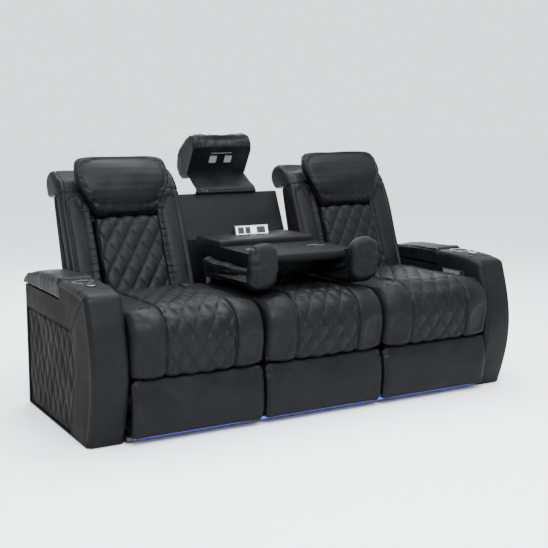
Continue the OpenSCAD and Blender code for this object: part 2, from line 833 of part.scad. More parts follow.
module arm_cover(side) {
    color(leather) on_side(side) difference() {
        intersection() {
            side_slab(arm_in, arm_out) arm_outline();
            translate([0, arm_depth + cut, 0]) rotate([90, 0, 0]) linear_extrude(arm_depth + 2 * arm_bow) {
                translate([arm_in, 0]) square([arm_w, deck_top - edge_round]);
                translate([arm_in + edge_round, 0]) square([arm_w - 2 * edge_round, deck_top + cut]);
                for (x = [arm_in + edge_round, arm_out - edge_round]) {
                    translate([x, deck_top - edge_round]) circle(edge_round);
                }
            }
        }
        block([arm_in + cover_wall, frame_front - air, -cut],
            [arm_out - cover_wall, arm_depth - cover_wall + air, deck_top - 3 * cover_wall]);
        block([arm_in + cover_wall, lid_front + cover_wall, glide_h],
            [arm_out - cover_wall, arm_depth - cover_wall + air, deck_top]);
        side_slab(arm_out - cover_wall, arm_out + cut) quilt_outline(air);
        translate([arm_mid, cup_y, 0]) cylinder(h = arm_z * 2, r = cup_r + cup_wall + air);
        translate([arm_mid, dock_y, 0]) cylinder(h = arm_z * 2, r = dock_r + dock_wall + air);
        block([arm_in - cut, panel_y - air, panel_z - air],
            [arm_in + cover_wall + cut, panel_y + panel_l + air, panel_z + panel_h + air]);
    }
}

module arm_frame(side) {
    top = deck_top - 3 * cover_wall - air;
    x0 = arm_in + cover_wall + air;
    x1 = arm_out - cover_wall - air;
    color(timber) on_side(side) difference() {
        union() {
            block([x0, frame_front, glide_h], [x1, lid_front - lid_gap, top]);
            block([x0, frame_front, glide_h], [x1, arm_depth - cover_wall, rim_z]);
            block([x0 + plinth_in, frame_front + plinth_in, 0],
                [x1 - plinth_in, arm_depth - cover_wall - plinth_in, glide_h + cut]);
        }
        block([x0 + well_wall, well_y0, well_floor], [x1 - well_wall, well_y1, rim_z + cut]);
        translate([arm_mid, cup_y, deck_top - cup_depth - flange_h])
            cylinder(h = arm_z, r = cup_r + cup_wall + air);
        translate([arm_mid, dock_y, deck_top - dock_depth - 2 * flange_h])
            cylinder(h = arm_z, r = dock_r + dock_wall + air);
        block([x0 - cut, panel_y - air, panel_z - air],
            [x0 + well_wall, panel_y + panel_l + air, panel_z + panel_h + air]);
    }
}

function arm_quilt_ring(k) =
    let (
        z = lerp(glide_h + air, quilt_top - air, k / quilt_rows_arm),
        y0 = front_band + arm_front_at(z) + air,
        y1 = arm_depth - cover_wall - air,
        rim = k == 0 || k == quilt_rows_arm
    )
    concat(
        [for (j = [0 : quilt_cols_arm])
            let (
                u = j / quilt_cols_arm,
                edge = rim || j == 0 || j == quilt_cols_arm,
                rise = edge ? -stitch_depth : diamond(k, j) * quilt_flat_share
            )
            [arm_out - band_proud + quilt_swell * sin(180 * u) + rise, lerp(y0, y1, u), z]],
        [[arm_out - cover_wall + air, y1, z], [arm_out - cover_wall + air, y0, z]]
    );

module arm_quilt(side) {
    color(leather_side) on_side(side)
        skin([for (k = [0 : quilt_rows_arm]) arm_quilt_ring(k)]);
}

// Control panel: a bezel with three rocker pockets and a charging port
panel_back = 8;
panel_lip = 2;
rocker_l = 34;
rocker_h = 21;
rocker_t = 7;
rocker_play = 1;
rocker_pin_r = 1.5;
rocker_y_shares = [0.32, 0.57, 0.82];
port_l = 15;
port_h = 7;
port_share = 0.10;
port_deep = 5;

function rocker_y(k) = panel_y + panel_l * rocker_y_shares[k];
panel_mid_z = panel_z + panel_h / 2;

module control_panel(side) {
    pocket_l = rocker_l / 2 + rocker_play;
    pocket_h = rocker_h / 2 + rocker_play;
    port_y = panel_y + panel_l * port_share;
    color(black_steel) on_side(side) difference() {
        block([arm_in - panel_lip, panel_y, panel_z],
            [arm_in + panel_back, panel_y + panel_l, panel_z + panel_h]);
        for (k = [0 : 2]) translate([arm_in, rocker_y(k), 0]) {
            block([-panel_lip - cut, -pocket_l, panel_mid_z - pocket_h],
                [panel_back - panel_lip, pocket_l, panel_mid_z + pocket_h]);
            translate([rocker_pin_r, 0, panel_z + panel_lip])
                cylinder(h = panel_h - 2 * panel_lip, r = rocker_pin_r + pin_play);
        }
        block([arm_in - panel_lip - cut, port_y - port_l / 2, panel_mid_z - port_h / 2],
            [arm_in + port_deep, port_y + port_l / 2, panel_mid_z + port_h / 2]);
    }
}

// A rocker: a cap that is a little hollow across its middle, on its own pin
module rocker(side, k) {
    hollow_r = 3 * rocker_l;
    color(steel) on_side(side) translate([arm_in, rocker_y(k), panel_mid_z]) difference() {
        union() {
            translate([-rocker_t / 2 - panel_lip, -rocker_l / 2, -rocker_h / 2])
                cube([rocker_t, rocker_l, rocker_h]);
            translate([rocker_pin_r, 0, 2 * panel_lip - panel_h / 2])
                cylinder(h = panel_h - 4 * panel_lip, r = rocker_pin_r);
        }
        translate([-rocker_t / 2 - panel_lip - hollow_r, 0, -rocker_h])
            cylinder(h = 2 * rocker_h, r = hollow_r + cut, $fn = 2 * fine);
    }
}

// Storage lid: a padded top on hinge knuckles
hinge_r = 3;
barrel_r = 5.5;
hinge_y = arm_depth + barrel_r + cut;
hinge_z = lid_z - barrel_r;
barrel_half = 30;
leaf_t = 2;
leaf_h = 34;
lid_y_shares = [0, 0.02, 0.06, 0.22, 0.45, 0.66, 0.82, 0.92, 0.975, 1];
lid_h_shares = [0.86, 0.96, 1, 1, 0.97, 0.88, 0.74, 0.60, 0.40, 0.12];
lid_corner = 26;
lid_corner_share = 0.45;
lid_crown = 3;

function lid_ring(k) =
    let (
        y = lerp(lid_front, arm_depth + lid_hang, lid_y_shares[k]),
        top = lid_z + lid_h * lid_h_shares[k],
        half = arm_w / 2 - air,
        r = min(lid_corner, lid_corner_share * (top - lid_z))
    )
    concat(
        [[half, y, lid_z], [half, y, top - r]],
        [for (a = [30, 60, 90]) [half - r + r * cos(a), y, top - r + r * sin(a)]],
        [[half / 3, y, top + lid_crown], [-half / 3, y, top + lid_crown]],
        [for (a = [90, 120, 150]) [r - half + r * cos(a), y, top - r + r * sin(a)]],
        [[-half, y, top - r], [-half, y, lid_z]]
    );

module storage_lid(side) {
    color(leather) on_side(side) translate([arm_mid, 0, 0]) difference() {
        union() {
            skin([for (k = [len(lid_y_shares) - 1 : -1 : 0]) lid_ring(k)]);
            bar_x(-barrel_half, barrel_half, hinge_y, hinge_z, barrel_r);
            block([-barrel_half, hinge_y - leaf_t, hinge_z],
                [barrel_half, hinge_y + leaf_t, lid_z + leaf_t]);
        }
        bar_x(-barrel_half - cut, barrel_half + cut, hinge_y, hinge_z, hinge_r + pin_play);
    }
}

module lid_hinges() {
    color(steel) both() translate([arm_mid, 0, 0]) {
        bar_x(-2 * barrel_half, 2 * barrel_half, hinge_y, hinge_z, hinge_r);
        both() {
            bar_x(barrel_half + strip_gap, 2 * barrel_half, hinge_y, hinge_z, barrel_r - air);
            block([barrel_half + strip_gap, arm_depth + air, hinge_z - leaf_h],
                [2 * barrel_half, hinge_y - hinge_r, hinge_z]);
        }
    }
}

module arm_cup_holders() {
    color(steel) both() translate([arm_mid, cup_y, deck_top - cup_depth]) difference() {
        union() {
            cylinder(h = cup_depth + flange_h, r = cup_r + cup_wall);
            translate([0, 0, cup_depth + air]) cylinder(h = flange_h - air, r = flange_r);
        }
        translate([0, 0, cup_wall]) cylinder(h = cup_depth + flange_h, r = cup_r);
    }
}

module accessory_docks() {
    color(steel) both() translate([arm_mid, dock_y, deck_top - dock_depth]) difference() {
        union() {
            cylinder(h = dock_depth + flange_h, r = dock_r + dock_wall);
            translate([0, 0, dock_depth + air]) cylinder(h = flange_h - air, r = dock_flange_r);
        }
        translate([0, 0, cup_wall]) cylinder(h = dock_depth + flange_h, r = dock_r);
    }
}

// Console: table, bolsters, lumbar cushion underneath, raised pad, cups and outlet pod
wing_gap = 8;
console_gap = 10;
wing_in = quilt_w / 2 + console_gap;
run_z = 555;
run_top = 648;
wing_end = 540;
cap_front = 2;
cap_top = 762;
table_end = 640;
bolt_in = 10;
bolt_x = table_w / 2 - bolt_in;
hinge_ear_r = 16;
console_pin_r = 8;
post_x = bolt_x + plate_t + strip_gap;
cushion_z0 = 570;
cushion_z1 = table_z - table_t - air;
batten_x = 205;
batten_w = 50;
batten_y0 = 130;
batten_y1 = 520;
shelf_inset = 4;
cushion_y0 = 272;
cushion_y1 = 530;
well_depth = 45;
pod_y = 645;
pod_sink = 4;
pod_z = table_z + shelf_t - pod_sink;
pod_front = 50;
pod_top_in = 37;
pod_play = 1.5;
pod_pin_r = 3;
pod_pin_l = 6;
table_r = 40;
cap_t = 52;
cap_first_turn = 30;
cap_last_turn = 150;
run_edge = 14;

module rounded_plan(x0, y0, x1, y1, r) {
    translate([x0 + r, y0]) square([x1 - x0 - 2 * r, y1 - y0]);
    translate([x0, y0 + r]) square([x1 - x0, y1 - y0 - 2 * r]);
    for (x = [x0 + r, x1 - r]) {
        for (y = [y0 + r, y1 - r]) translate([x, y]) circle(r);
    }
}

module console_board() {
    half = table_w / 2;
    nose_r = table_t / 2;
    color(leather) difference() {
        union() {
            intersection() {
                side_slab(-half, half) {
                    translate([table_front + nose_r, table_z - table_t])
                        square([table_end - table_front - nose_r, table_t]);
                    translate([table_front + nose_r, table_z - nose_r]) circle(nose_r);
                }
                linear_extrude(table_z + cut) rounded_plan(-half, table_front, half, table_end, table_r);
            }
            both() side_slab(bolt_x, bolt_x + plate_t)
                strip(console_y, console_hinge_z, console_y + hinge_ear_r, table_z - table_t, hinge_ear_r);
            both() block([batten_x, batten_y0, run_top + air],
                [batten_x + batten_w, batten_y1, table_z - table_t + cut]);
        }
        both() translate([table_cup_x, table_front + table_cup_y, 0])
            cylinder(h = 2 * table_z, r = table_cup_r + cup_wall + air);
        both() bar_x(bolt_x - cut, bolt_x + plate_t + cut, console_y, console_hinge_z,
            console_pin_r + pin_play);
        pod_well();
    }
}

module console_cups() {
    cup_at = [table_cup_x, table_front + table_cup_y, table_z - table_t];
    color(steel) both() translate(cup_at) difference() {
        union() {
            cylinder(h = table_t + flange_h / 2, r = table_cup_r + cup_wall);
            translate([0, 0, table_t + air])
                cylinder(h = flange_h / 2 - air, r = table_cup_r + flange_h);
        }
        translate([0, 0, cup_wall]) cylinder(h = table_t + flange_h, r = table_cup_r);
    }
}

// The well that the closing pod turns down into
module pod_well() {
    reach = norm([pod_front, pod_h]) + pod_play;
    block([-pod_w / 2 - pod_play, pod_y - reach, table_z - well_depth + shelf_t],
        [pod_w / 2 + pod_play, pod_y + pod_pin_r + pod_play, table_z + shelf_t + cut]);
}

module console_shelf() {
    half = table_w / 2 - shelf_inset;
    round_r = shelf_t / 2 - cut;
    shelf_back = shelf_front + shelf_l;
    color(leather) difference() {
        intersection() {
            side_slab(-half, half) {
                translate([shelf_front + round_r, table_z + air])
                    square([shelf_l - 2 * round_r, shelf_t - air]);
                translate([shelf_front, table_z + air]) square([shelf_l, shelf_t - round_r]);
                for (y = [shelf_front + round_r, shelf_back - round_r]) {
                    translate([y, table_z + shelf_t - round_r]) circle(round_r);
                }
            }
            linear_extrude(table_z + 2 * shelf_t)
                rounded_plan(-half, shelf_front, half, shelf_back, table_r / 2);
        }
        pod_well();
        bar_x(-pod_w / 2 - pod_pin_l - cut, pod_w / 2 + pod_pin_l + cut, pod_y, pod_z,
            pod_pin_r + pin_play);
    }
}

// Outlet pod: a tent-shaped housing whose face carries two outlets and two charging ports
outlet_share = 0.28;
outlet_gap = 34;
slot_w = 2.5;
slot_h = 8;
charge_w = 12;
charge_h = 5;

module pod_slot(x, z, w, h) {
    block([x - w / 2, pod_y - pod_front - cut, z - h / 2], [x + w / 2, pod_y - pod_front / 2, z + h / 2]);
}

module outlet_pod() {
    mid_z = pod_z + pod_h / 2;
    outlet_x = pod_w * outlet_share;
    color([0.9, 0.9, 0.88]) difference() {
        union() {
            side_slab(-pod_w / 2, pod_w / 2) polygon([
                [pod_y - pod_front, pod_z], [pod_y, pod_z - pod_pin_r],
                [pod_y + pod_pin_r, pod_z], [pod_y - pod_top_in, pod_z + pod_h]
            ]);
            bar_x(-pod_w / 2 - pod_pin_l, pod_w / 2 + pod_pin_l, pod_y, pod_z, pod_pin_r);
        }
        for (x = [-outlet_x, outlet_gap - outlet_x]) {
            for (dx = [-2 * slot_w, 2 * slot_w]) pod_slot(x + dx, mid_z, slot_w, slot_h);
        }
        for (dz = [-charge_h, charge_h]) pod_slot(outlet_x, mid_z + dz, charge_w, charge_h / 2);
    }
}

function console_cushion_outline() = concat(
    [[cushion_y1, cushion_z1], [cushion_y0, cushion_z1], [cushion_y0, cushion_z0 + lumbar_edge]],
    [for (k = [0 : lumbar_rows])
        [lerp(cushion_y0 + lumbar_edge, cushion_y1 - lumbar_edge, k / lumbar_rows), cushion_z0]],
    [[cushion_y1, cushion_z0 + lumbar_edge]]
);

function console_ring(x, col, edge) =
    let (outline = console_cushion_outline())
    at_x(swollen(outline, [for (j = [0 : len(outline) - 1])
        j < 2 ? 0 : (edge ? -lumbar_in / 2 : (j > 3 && j < 3 + lumbar_rows ? diamond(col, j + 1) : 0))]), x);

module console_cushion() {
    half = quilt_w / 2;
    color(leather) skin(concat(
        [console_ring(-half, 0, true)],
        [for (c = [1 : quilt_cols - 1]) console_ring(half * (2 * c / quilt_cols - 1), c, false)],
        [console_ring(half, 0, true)]
    ));
}

// Side outline of a folded bolster, with its rolled end standing up in front of the table
function wing_outline() = concat(
    [
        [wing_end, run_top], [(wing_end + cap_front) / 2, run_top], [cap_front + 2.27 * cap_t, run_top],
        [cap_front + 1.2 * cap_t, run_top + 0.85 * run_edge], [cap_front + 1.1 * cap_t, table_z]
    ],
    arc([cap_front + 0.62 * cap_t, cap_top - 0.58 * cap_t], cap_t / 2, 0.58 * cap_t,
        cap_first_turn, cap_last_turn, 3),
    [
        [cap_front, table_z - 0.38 * cap_t], [cap_front - 0.06 * cap_t, run_top],
        [cap_front + 0.15 * cap_t, run_z + 0.65 * cap_t], [cap_front + 0.73 * cap_t, run_z + 0.2 * cap_t],
        [cap_front + 2.46 * cap_t, run_z], [(wing_end + cap_front) / 2, run_z],
        [wing_end - 1.15 * cap_t, run_z], [wing_end, run_z + run_edge]
    ]
);

wing_drop_shares = [1, 0.3, 0, 0, 0, 0.3, 1];
wing_place_shares = [0, 0.09, 0.3, 0.5, 0.7, 0.91, 1];
wing_round = 14;
wing_crown = 1.5;
wing_flat_points = 3;

// The run is flat under the table and at its end, and crowned elsewhere
function wing_ring(outline, k) =
    let (
        place = wing_place_shares[k],
        drop = wing_round * wing_drop_shares[k],
        last = len(outline) - 1
    )
    at_x(swollen(outline, [for (j = [0 : last])
        (j < wing_flat_points || j == last ? 0 : wing_crown * sin(180 * place)) - drop
    ]), lerp(wing_in, seat_w / 2, place));

module console_wing() {
    outline = wing_outline();
    skin([for (k = [0 : len(wing_place_shares) - 1]) wing_ring(outline, k)], zipped(len(outline)));
}

module console_wings() {
    color(leather) both() console_wing();
}

// Fixed rear panel: low across the sofa, tall and leaning behind the console
low_y = 767;
low_top = 440;
low_z = 40;
stand_y = 783;
bend_z = 712;
top_y = 881;
tall_t = 30;
panel_edge = 6;

module rear_panel() {
    color(leather_side) union() {
        block([-arm_in + air, low_y, low_z], [arm_in - air, low_y + board_t + cut, low_top]);
        side_slab(-panel_w / 2, panel_w / 2) polygon([
            [stand_y, low_z], [stand_y + tall_t, low_z], [stand_y + tall_t, bend_z],
            [top_y + tall_t, panel_top - panel_edge], [top_y + tall_t - panel_edge, panel_top],
            [top_y, panel_top], [stand_y, bend_z - 2 * panel_edge]
        ]);
        both() block([flip_lug_x, flip_y - flip_ear + cut, panel_top - 2 * flip_ear],
            [flip_lug_x + plate_t, flip_y + flip_ear - cut, flip_z]);
        both() bar_x(flip_lug_x, flip_lug_x + plate_t, flip_y, flip_z, flip_ear);
        bar_x(-flip_lug_x - plate_t, flip_lug_x + plate_t, flip_y, flip_z, pin_r);
    }
}

// Middle headrest, flipped up behind the console, on two cranked arms
flip_ear = 9;
flip_lug_x = 72;
flip_arm_r = 8;
flip_arm_x = flip_lug_x - plate_t - strip_gap;
flip_x_shares = [1, 0.95, 0.84, 0.45];
flip_scale_shares = [0.72, 0.9, 0.98, 1];
// Places on the middle headrest, as shares of its height from the pivot
elbow_low_share = [0.325, -0.128];
elbow_high_share = [0.530, 0.107];
face_top_share = [0.060, 0.910];
face_foot_share = [0.406, 0.342];
foot_share = [0.470, 0.239];
flip_soft_shares = [
    [0.846, 0.192], [1.000, 0.291], [flip_reach_share, 0.436], [1.043, 0.611], [0.923, 0.812],
    [0.756, 0.970], [0.547, 1.103], [0.333, 1.192], [0.188, 1.154], [0.077, 1.026]
];
mount_half = 25;
mount_t = 6;
face_top = flip_at(face_top_share);
face_foot = flip_at(face_foot_share);

function flip_at(share) = [flip_y, flip_z] + flip_h * share;

function flip_outline() = concat(
    [for (share = flip_soft_shares) flip_at(share)],
    [face_top, (face_top + face_foot) / 2, face_foot, flip_at(foot_share)]
);

function flip_ring(share, k) =
    let (hub = (face_top + face_foot) / 2)
    at_x([for (p = flip_outline()) hub + (p - hub) * k], share * flip_w / 2);

module centre_headrest() {
    last = len(flip_x_shares) - 1;
    color(leather) skin(concat(
        [for (k = [0 : last]) flip_ring(-flip_x_shares[k], flip_scale_shares[k])],
        [for (k = [last : -1 : 0]) flip_ring(flip_x_shares[k], flip_scale_shares[k])]
    ));
}

// The cranked arms end in a plate that follows the pad's underside
module centre_headrest_arms() {
    foot = flip_at(foot_share);
    heel = flip_at(flip_soft_shares[0]);
    along = (heel - foot) / norm(heel - foot);
    away = [along[1], -along[0]];
    mount = (foot + heel) / 2 + (mount_t / 2 + air) * away;
    wrist = (foot + heel) / 2 + (flip_arm_r + 2 * air) * away;
    places = [[flip_y, flip_z], flip_at(elbow_low_share), flip_at(elbow_high_share), wrist];
    low = mount - mount_half * along;
    high = mount + mount_half * along;
    color(steel) difference() {
        union() {
            both() side_slab(flip_arm_x, flip_arm_x + plate_t) for (k = [0 : 2]) {
                strip(places[k][0], places[k][1], places[k + 1][0], places[k + 1][1], flip_arm_r);
            }
            side_slab(-flip_arm_x - plate_t, flip_arm_x + plate_t)
                strip(low[0], low[1], high[0], high[1], mount_t / 2);
        }
        bar_x(-arm_in, arm_in, flip_y, flip_z, pin_r + pin_play);
    }
}

lamp_w = 38;
lamp_t = 6;
lamp_x = 42;
lamp_share = 0.46;

module reading_lamps() {
    slope = atan2(face_foot[0] - face_top[0], face_top[1] - face_foot[1]);
    spot = lerp(face_top, face_foot, lamp_share);
    color([0.9, 0.9, 0.92]) translate([0, spot[0], spot[1]]) rotate([slope, 0, 0]) both()
        block([lamp_x - lamp_w / 2, -lamp_t - air, -lamp_w / 2], [lamp_x + lamp_w / 2, -air, lamp_w / 2]);
}

// Base: six rails on two cross beams that lie on the floor, and a toe rail along the front
rail_in = 43;
rail_x = seat_w / 2 - rail_in;
beam_y0 = 300;
beam_y1 = 640;
beam_w = 30;
toe_y = 14;

module base_frame() {
    span = arm_in - air;
    color(black_steel) union() {
        for (k = [-1, 0, 1]) translate([k * pitch, 0, 0]) both()
            block([rail_x, -toe_y, glide_h], [rail_x + rail_w, low_y, rail_z]);
        for (y = [beam_y0, beam_y1]) block([-span, y, 0], [span, y + beam_w, rail_z]);
        block([-span, -toe_y, glide_h], [span, toe_y, toe_z]);
    }
}

// Middle frame: the fixed box under the middle seat, and the posts that carry the console's hinges
box_t = 14;
box_inset = 5;
front_rail_drop = 90;
front_rail_z = footrest_z + footrest_h - front_rail_drop;
stand_x = 180;
stand_h = 50;
post_y = 540;
post_d = 40;

module centre_frame() {
    back = seat_depth - box_inset;
    color(black_steel) union() {
        both() block([rail_x, deck_front, rail_z], [rail_x + box_t, back, deck_z - deck_t + cut]);
        block([-rail_x - box_t, deck_front, deck_z - deck_t], [rail_x + box_t, back, deck_z - air]);
        block([-rail_x - cut, deck_front, front_rail_z],
            [rail_x + cut, deck_front + box_t, deck_z - deck_t + cut]);
        both() block([stand_x, pad_back_y + air, front_rail_z],
            [stand_x + board_t, deck_front + cut, front_rail_z + stand_h]);
        both() post();
    }
}

module post() {
    block([post_x, post_y, rail_z], [post_x + plate_t, post_y + post_d, console_hinge_z]);
    block([post_x, post_y, rail_z], [rail_x + rail_w, post_y + post_d, rail_z + plate_t]);
    bar_x(post_x, post_x + plate_t, console_y, console_hinge_z, hinge_ear_r);
    bar_x(bolt_x - strip_gap, post_x + cut, console_y, console_hinge_z, console_pin_r);
    bar_x(bolt_x - strip_gap - head_t, bolt_x - strip_gap, console_y, console_hinge_z,
        console_pin_r + head_t);
}

module led_strip() {
    color([0.2, 0.5, 1]) block([-arm_in + 2 * toe_y, -toe_y - plate_t - air, glide_h + plate_t],
        [arm_in - 2 * toe_y, -toe_y - air, toe_z - air]);
}

// The whole sofa stands with the middle of its footprint at the origin
module placed() {
    translate([0, -mid_y, 0]) children();
}

placed() seat_cushion(-1);  // left_seat_cushion
placed() seat_cushion(1);  // right_seat_cushion
placed() seat_frame(-1);  // left_seat_frame
placed() seat_frame(1);  // right_seat_frame
placed() back_frame(-1);  // left_back_frame
placed() back_frame(1);  // right_back_frame
placed() back_wings(-1);  // left_back_wings
placed() back_wings(1);  // right_back_wings
placed() lumbar_pad(-1);  // left_lumbar_pad
placed() lumbar_pad(1);  // right_lumbar_pad
placed() back_cover(-1);  // left_back_cover
placed() back_cover(1);  // right_back_cover
placed() headrest_pad(-1);  // left_headrest_pad
placed() headrest_pad(1);  // right_headrest_pad
placed() headrest_bracket(-1);  // left_headrest_bracket
placed() headrest_bracket(1);  // right_headrest_bracket
placed() footrest_pad(-1);  // left_footrest_pad
placed() footrest_pad(1);  // right_footrest_pad
placed() footrest_bracket(-1);  // left_footrest_bracket
placed() footrest_bracket(1);  // right_footrest_bracket
placed() footrest_rear_links(-1);  // left_footrest_rear_links
placed() footrest_rear_links(1);  // right_footrest_rear_links
placed() footrest_front_links(-1);  // left_footrest_front_links
placed() footrest_front_links(1);  // right_footrest_front_links
placed() motor(-1);  // left_motor
placed() motor(1);  // right_motor
placed() arm_frame(-1);  // left_arm_frame
placed() arm_frame(1);  // right_arm_frame
placed() arm_cover(-1);  // left_arm_cover
placed() arm_cover(1);  // right_arm_cover
placed() arm_quilt(-1);  // left_arm_quilt
placed() arm_quilt(1);  // right_arm_quilt
placed() control_panel(-1);  // left_control_panel
placed() control_panel(1);  // right_control_panel
placed() storage_lid(-1);  // left_storage_lid
placed() storage_lid(1);  // right_storage_lid
placed() rocker(-1, 0);  // left_rocker_front
placed() rocker(-1, 1);  // left_rocker_middle
placed() rocker(-1, 2);  // left_rocker_rear
placed() rocker(1, 0);  // right_rocker_front
placed() rocker(1, 1);  // right_rocker_middle
placed() rocker(1, 2);  // right_rocker_rear
placed() lid_hinges();
placed() arm_cup_holders();
placed() accessory_docks();
placed() centre_seat_cushion();
placed() centre_front_panel();
placed() rear_panel();
placed() centre_headrest();
placed() centre_headrest_arms();
placed() reading_lamps();
placed() console_board();
placed() console_wings();
placed() console_cushion();
placed() console_shelf();
placed() console_cups();
placed() outlet_pod();
placed() base_frame();
placed() centre_frame();
placed() led_strip();
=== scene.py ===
# %% [markdown]
# A three-seat power sofa: two reclining end seats and a middle seat whose back folds down into a console.
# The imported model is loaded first, as a fixed frame. Everything made below stands in that frame, in metres.

# %% Load the frame
import json
import math

import bmesh
import bpy
import numpy as np
from mathutils import Matrix, Vector

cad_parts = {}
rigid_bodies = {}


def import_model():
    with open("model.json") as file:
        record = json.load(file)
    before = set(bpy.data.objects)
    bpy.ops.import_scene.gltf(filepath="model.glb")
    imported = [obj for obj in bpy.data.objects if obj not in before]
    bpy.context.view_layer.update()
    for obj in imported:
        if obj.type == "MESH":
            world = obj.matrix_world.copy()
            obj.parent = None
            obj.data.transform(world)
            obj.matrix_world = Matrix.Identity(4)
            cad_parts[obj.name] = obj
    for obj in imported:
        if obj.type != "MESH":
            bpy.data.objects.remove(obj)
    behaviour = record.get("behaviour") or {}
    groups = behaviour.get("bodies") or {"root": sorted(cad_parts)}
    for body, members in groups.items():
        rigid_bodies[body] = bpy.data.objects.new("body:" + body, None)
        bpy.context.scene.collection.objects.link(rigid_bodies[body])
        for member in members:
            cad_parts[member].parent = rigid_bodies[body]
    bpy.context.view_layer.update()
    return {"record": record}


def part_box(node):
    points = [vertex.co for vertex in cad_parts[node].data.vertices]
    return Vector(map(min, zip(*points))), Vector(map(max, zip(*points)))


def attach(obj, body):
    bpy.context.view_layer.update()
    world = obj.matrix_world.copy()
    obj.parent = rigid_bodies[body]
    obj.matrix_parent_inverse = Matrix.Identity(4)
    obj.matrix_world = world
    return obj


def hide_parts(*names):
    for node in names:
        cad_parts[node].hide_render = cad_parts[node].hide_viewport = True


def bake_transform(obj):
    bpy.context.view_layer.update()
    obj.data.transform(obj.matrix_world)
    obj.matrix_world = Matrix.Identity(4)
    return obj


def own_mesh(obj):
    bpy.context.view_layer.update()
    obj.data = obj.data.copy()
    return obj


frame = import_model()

# %% [markdown]
# Places are written the way an upholsterer measures the sofa: X from its middle, Y back from the arms'
# front corners and Z up from the floor, in millimetres. One function turns them into the frame's metres.

# %% Measuring
MM = 0.001
TIMBER_IN = 20 * MM
FRONT_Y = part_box("left_arm_frame")[0].y - TIMBER_IN
SEAT_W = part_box("centre_seat_cushion")[1].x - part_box("centre_seat_cushion")[0].x
PITCH = (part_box("right_seat_cushion")[0].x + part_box("right_seat_cushion")[1].x) / 2
ARM_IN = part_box("right_arm_cover")[0].x
ARM_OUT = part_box("right_arm_cover")[1].x
ARM_MID = (ARM_IN + ARM_OUT) / 2
SIDES = (("left", -1), ("right", 1))


def place(points):
    """Points in millimetres from the middle, the arms' front and the floor, as points of the frame."""
    out = np.array(points, float) * MM
    out[..., 1] += FRONT_Y
    return out


print("pitch %.3f m, arms from %.3f to %.3f m" % (PITCH, ARM_IN, ARM_OUT))

# %% [markdown]
# The camera comes first, so that each piece can be judged as it is made. The photograph was taken from the
# viewer's left, a little above the arms, with a longish lens from about four and a half metres.

# %% Camera
CAMERA_AT = place((-2362, -3743, 1329))
YAW, PITCH_DOWN, ROLL = 29.75, 9.09, -0.16
FOCAL_SHARE = 1028.8 / 548
SENSOR = 36.0

camera_data = bpy.data.cameras.new("camera")
camera_data.sensor_width = SENSOR
camera_data.lens = FOCAL_SHARE * SENSOR
camera = bpy.data.objects.new("camera", camera_data)
bpy.context.scene.collection.objects.link(camera)
camera.location = CAMERA_AT
camera.rotation_euler = (math.radians(90 - PITCH_DOWN), math.radians(ROLL), math.radians(-YAW))
bpy.context.scene.camera = camera
print("camera at", [round(c, 3) for c in CAMERA_AT])

# %% [markdown]
# A studio for a dark object: a pale floor that meets a pale world, one large soft key above and to the
# front, a weaker one overhead, and a strip behind that draws a line of light along rolled tops and arm edges.

# %% Floor and lights
FLOOR_HALF = 30.0
FLOOR_COLOUR, FLOOR_ROUGHNESS = (0.94, 0.945, 0.95), 0.9
SKY_COLOUR, SKY_STRENGTH = (0.95, 0.97, 1.0), 1.9


def flat_material(name, colour, roughness):
    made = bpy.data.materials.new(name)
    made.use_nodes = True
    shader = made.node_tree.nodes["Principled BSDF"]
    shader.inputs["Base Color"].default_value = (*colour, 1)
    shader.inputs["Roughness"].default_value = roughness
    return made


floor_mesh = bpy.data.meshes.new("floor")
floor_mesh.from_pydata(
    [(x * FLOOR_HALF, y * FLOOR_HALF, 0) for x, y in ((-1, -1), (1, -1), (1, 1), (-1, 1))], [], [(0, 1, 2, 3)]
)
floor = bpy.data.objects.new("floor", floor_mesh)
bpy.context.scene.collection.objects.link(floor)
floor_mesh.materials.append(flat_material("pale floor", FLOOR_COLOUR, FLOOR_ROUGHNESS))

world = bpy.data.worlds.new("studio")
bpy.context.scene.world = world
world.use_nodes = True
sky = world.node_tree.nodes["Background"].inputs
sky["Color"].default_value = (*SKY_COLOUR, 1)
sky["Strength"].default_value = SKY_STRENGTH


def softbox(name, at, towards, size, power, tint=(1, 1, 1)):
    """An area light at one place, turned towards another."""
    data = bpy.data.lights.new(name, "AREA")
    data.shape, data.size, data.size_y = "RECTANGLE", size[0], size[1]
    data.energy, data.color = power, tint
    made = bpy.data.objects.new(name, data)
    bpy.context.scene.collection.objects.link(made)
    made.location = at
    made.rotation_euler = (Vector(towards) - Vector(at)).to_track_quat("-Z", "Y").to_euler()
    return made


softbox("key", (-1.2, -3.4, 3.6), (0, 0, 0.6), (3.0, 2.0), 430, (0.96, 0.98, 1.0))
softbox("top", (0.3, 0.2, 3.4), (0.1, 0.1, 0.5), (3.4, 1.4), 250, (0.93, 0.97, 1.0))
softbox("rim", (1.2, 3.0, 2.4), (0.2, 0.4, 0.9), (3.0, 1.0), 90)

# %% [markdown]
# Shader maths reads best as sums and products, so one small class stands for a socket. An expression on it
# adds Math nodes, and any other node comes from its `node` method.


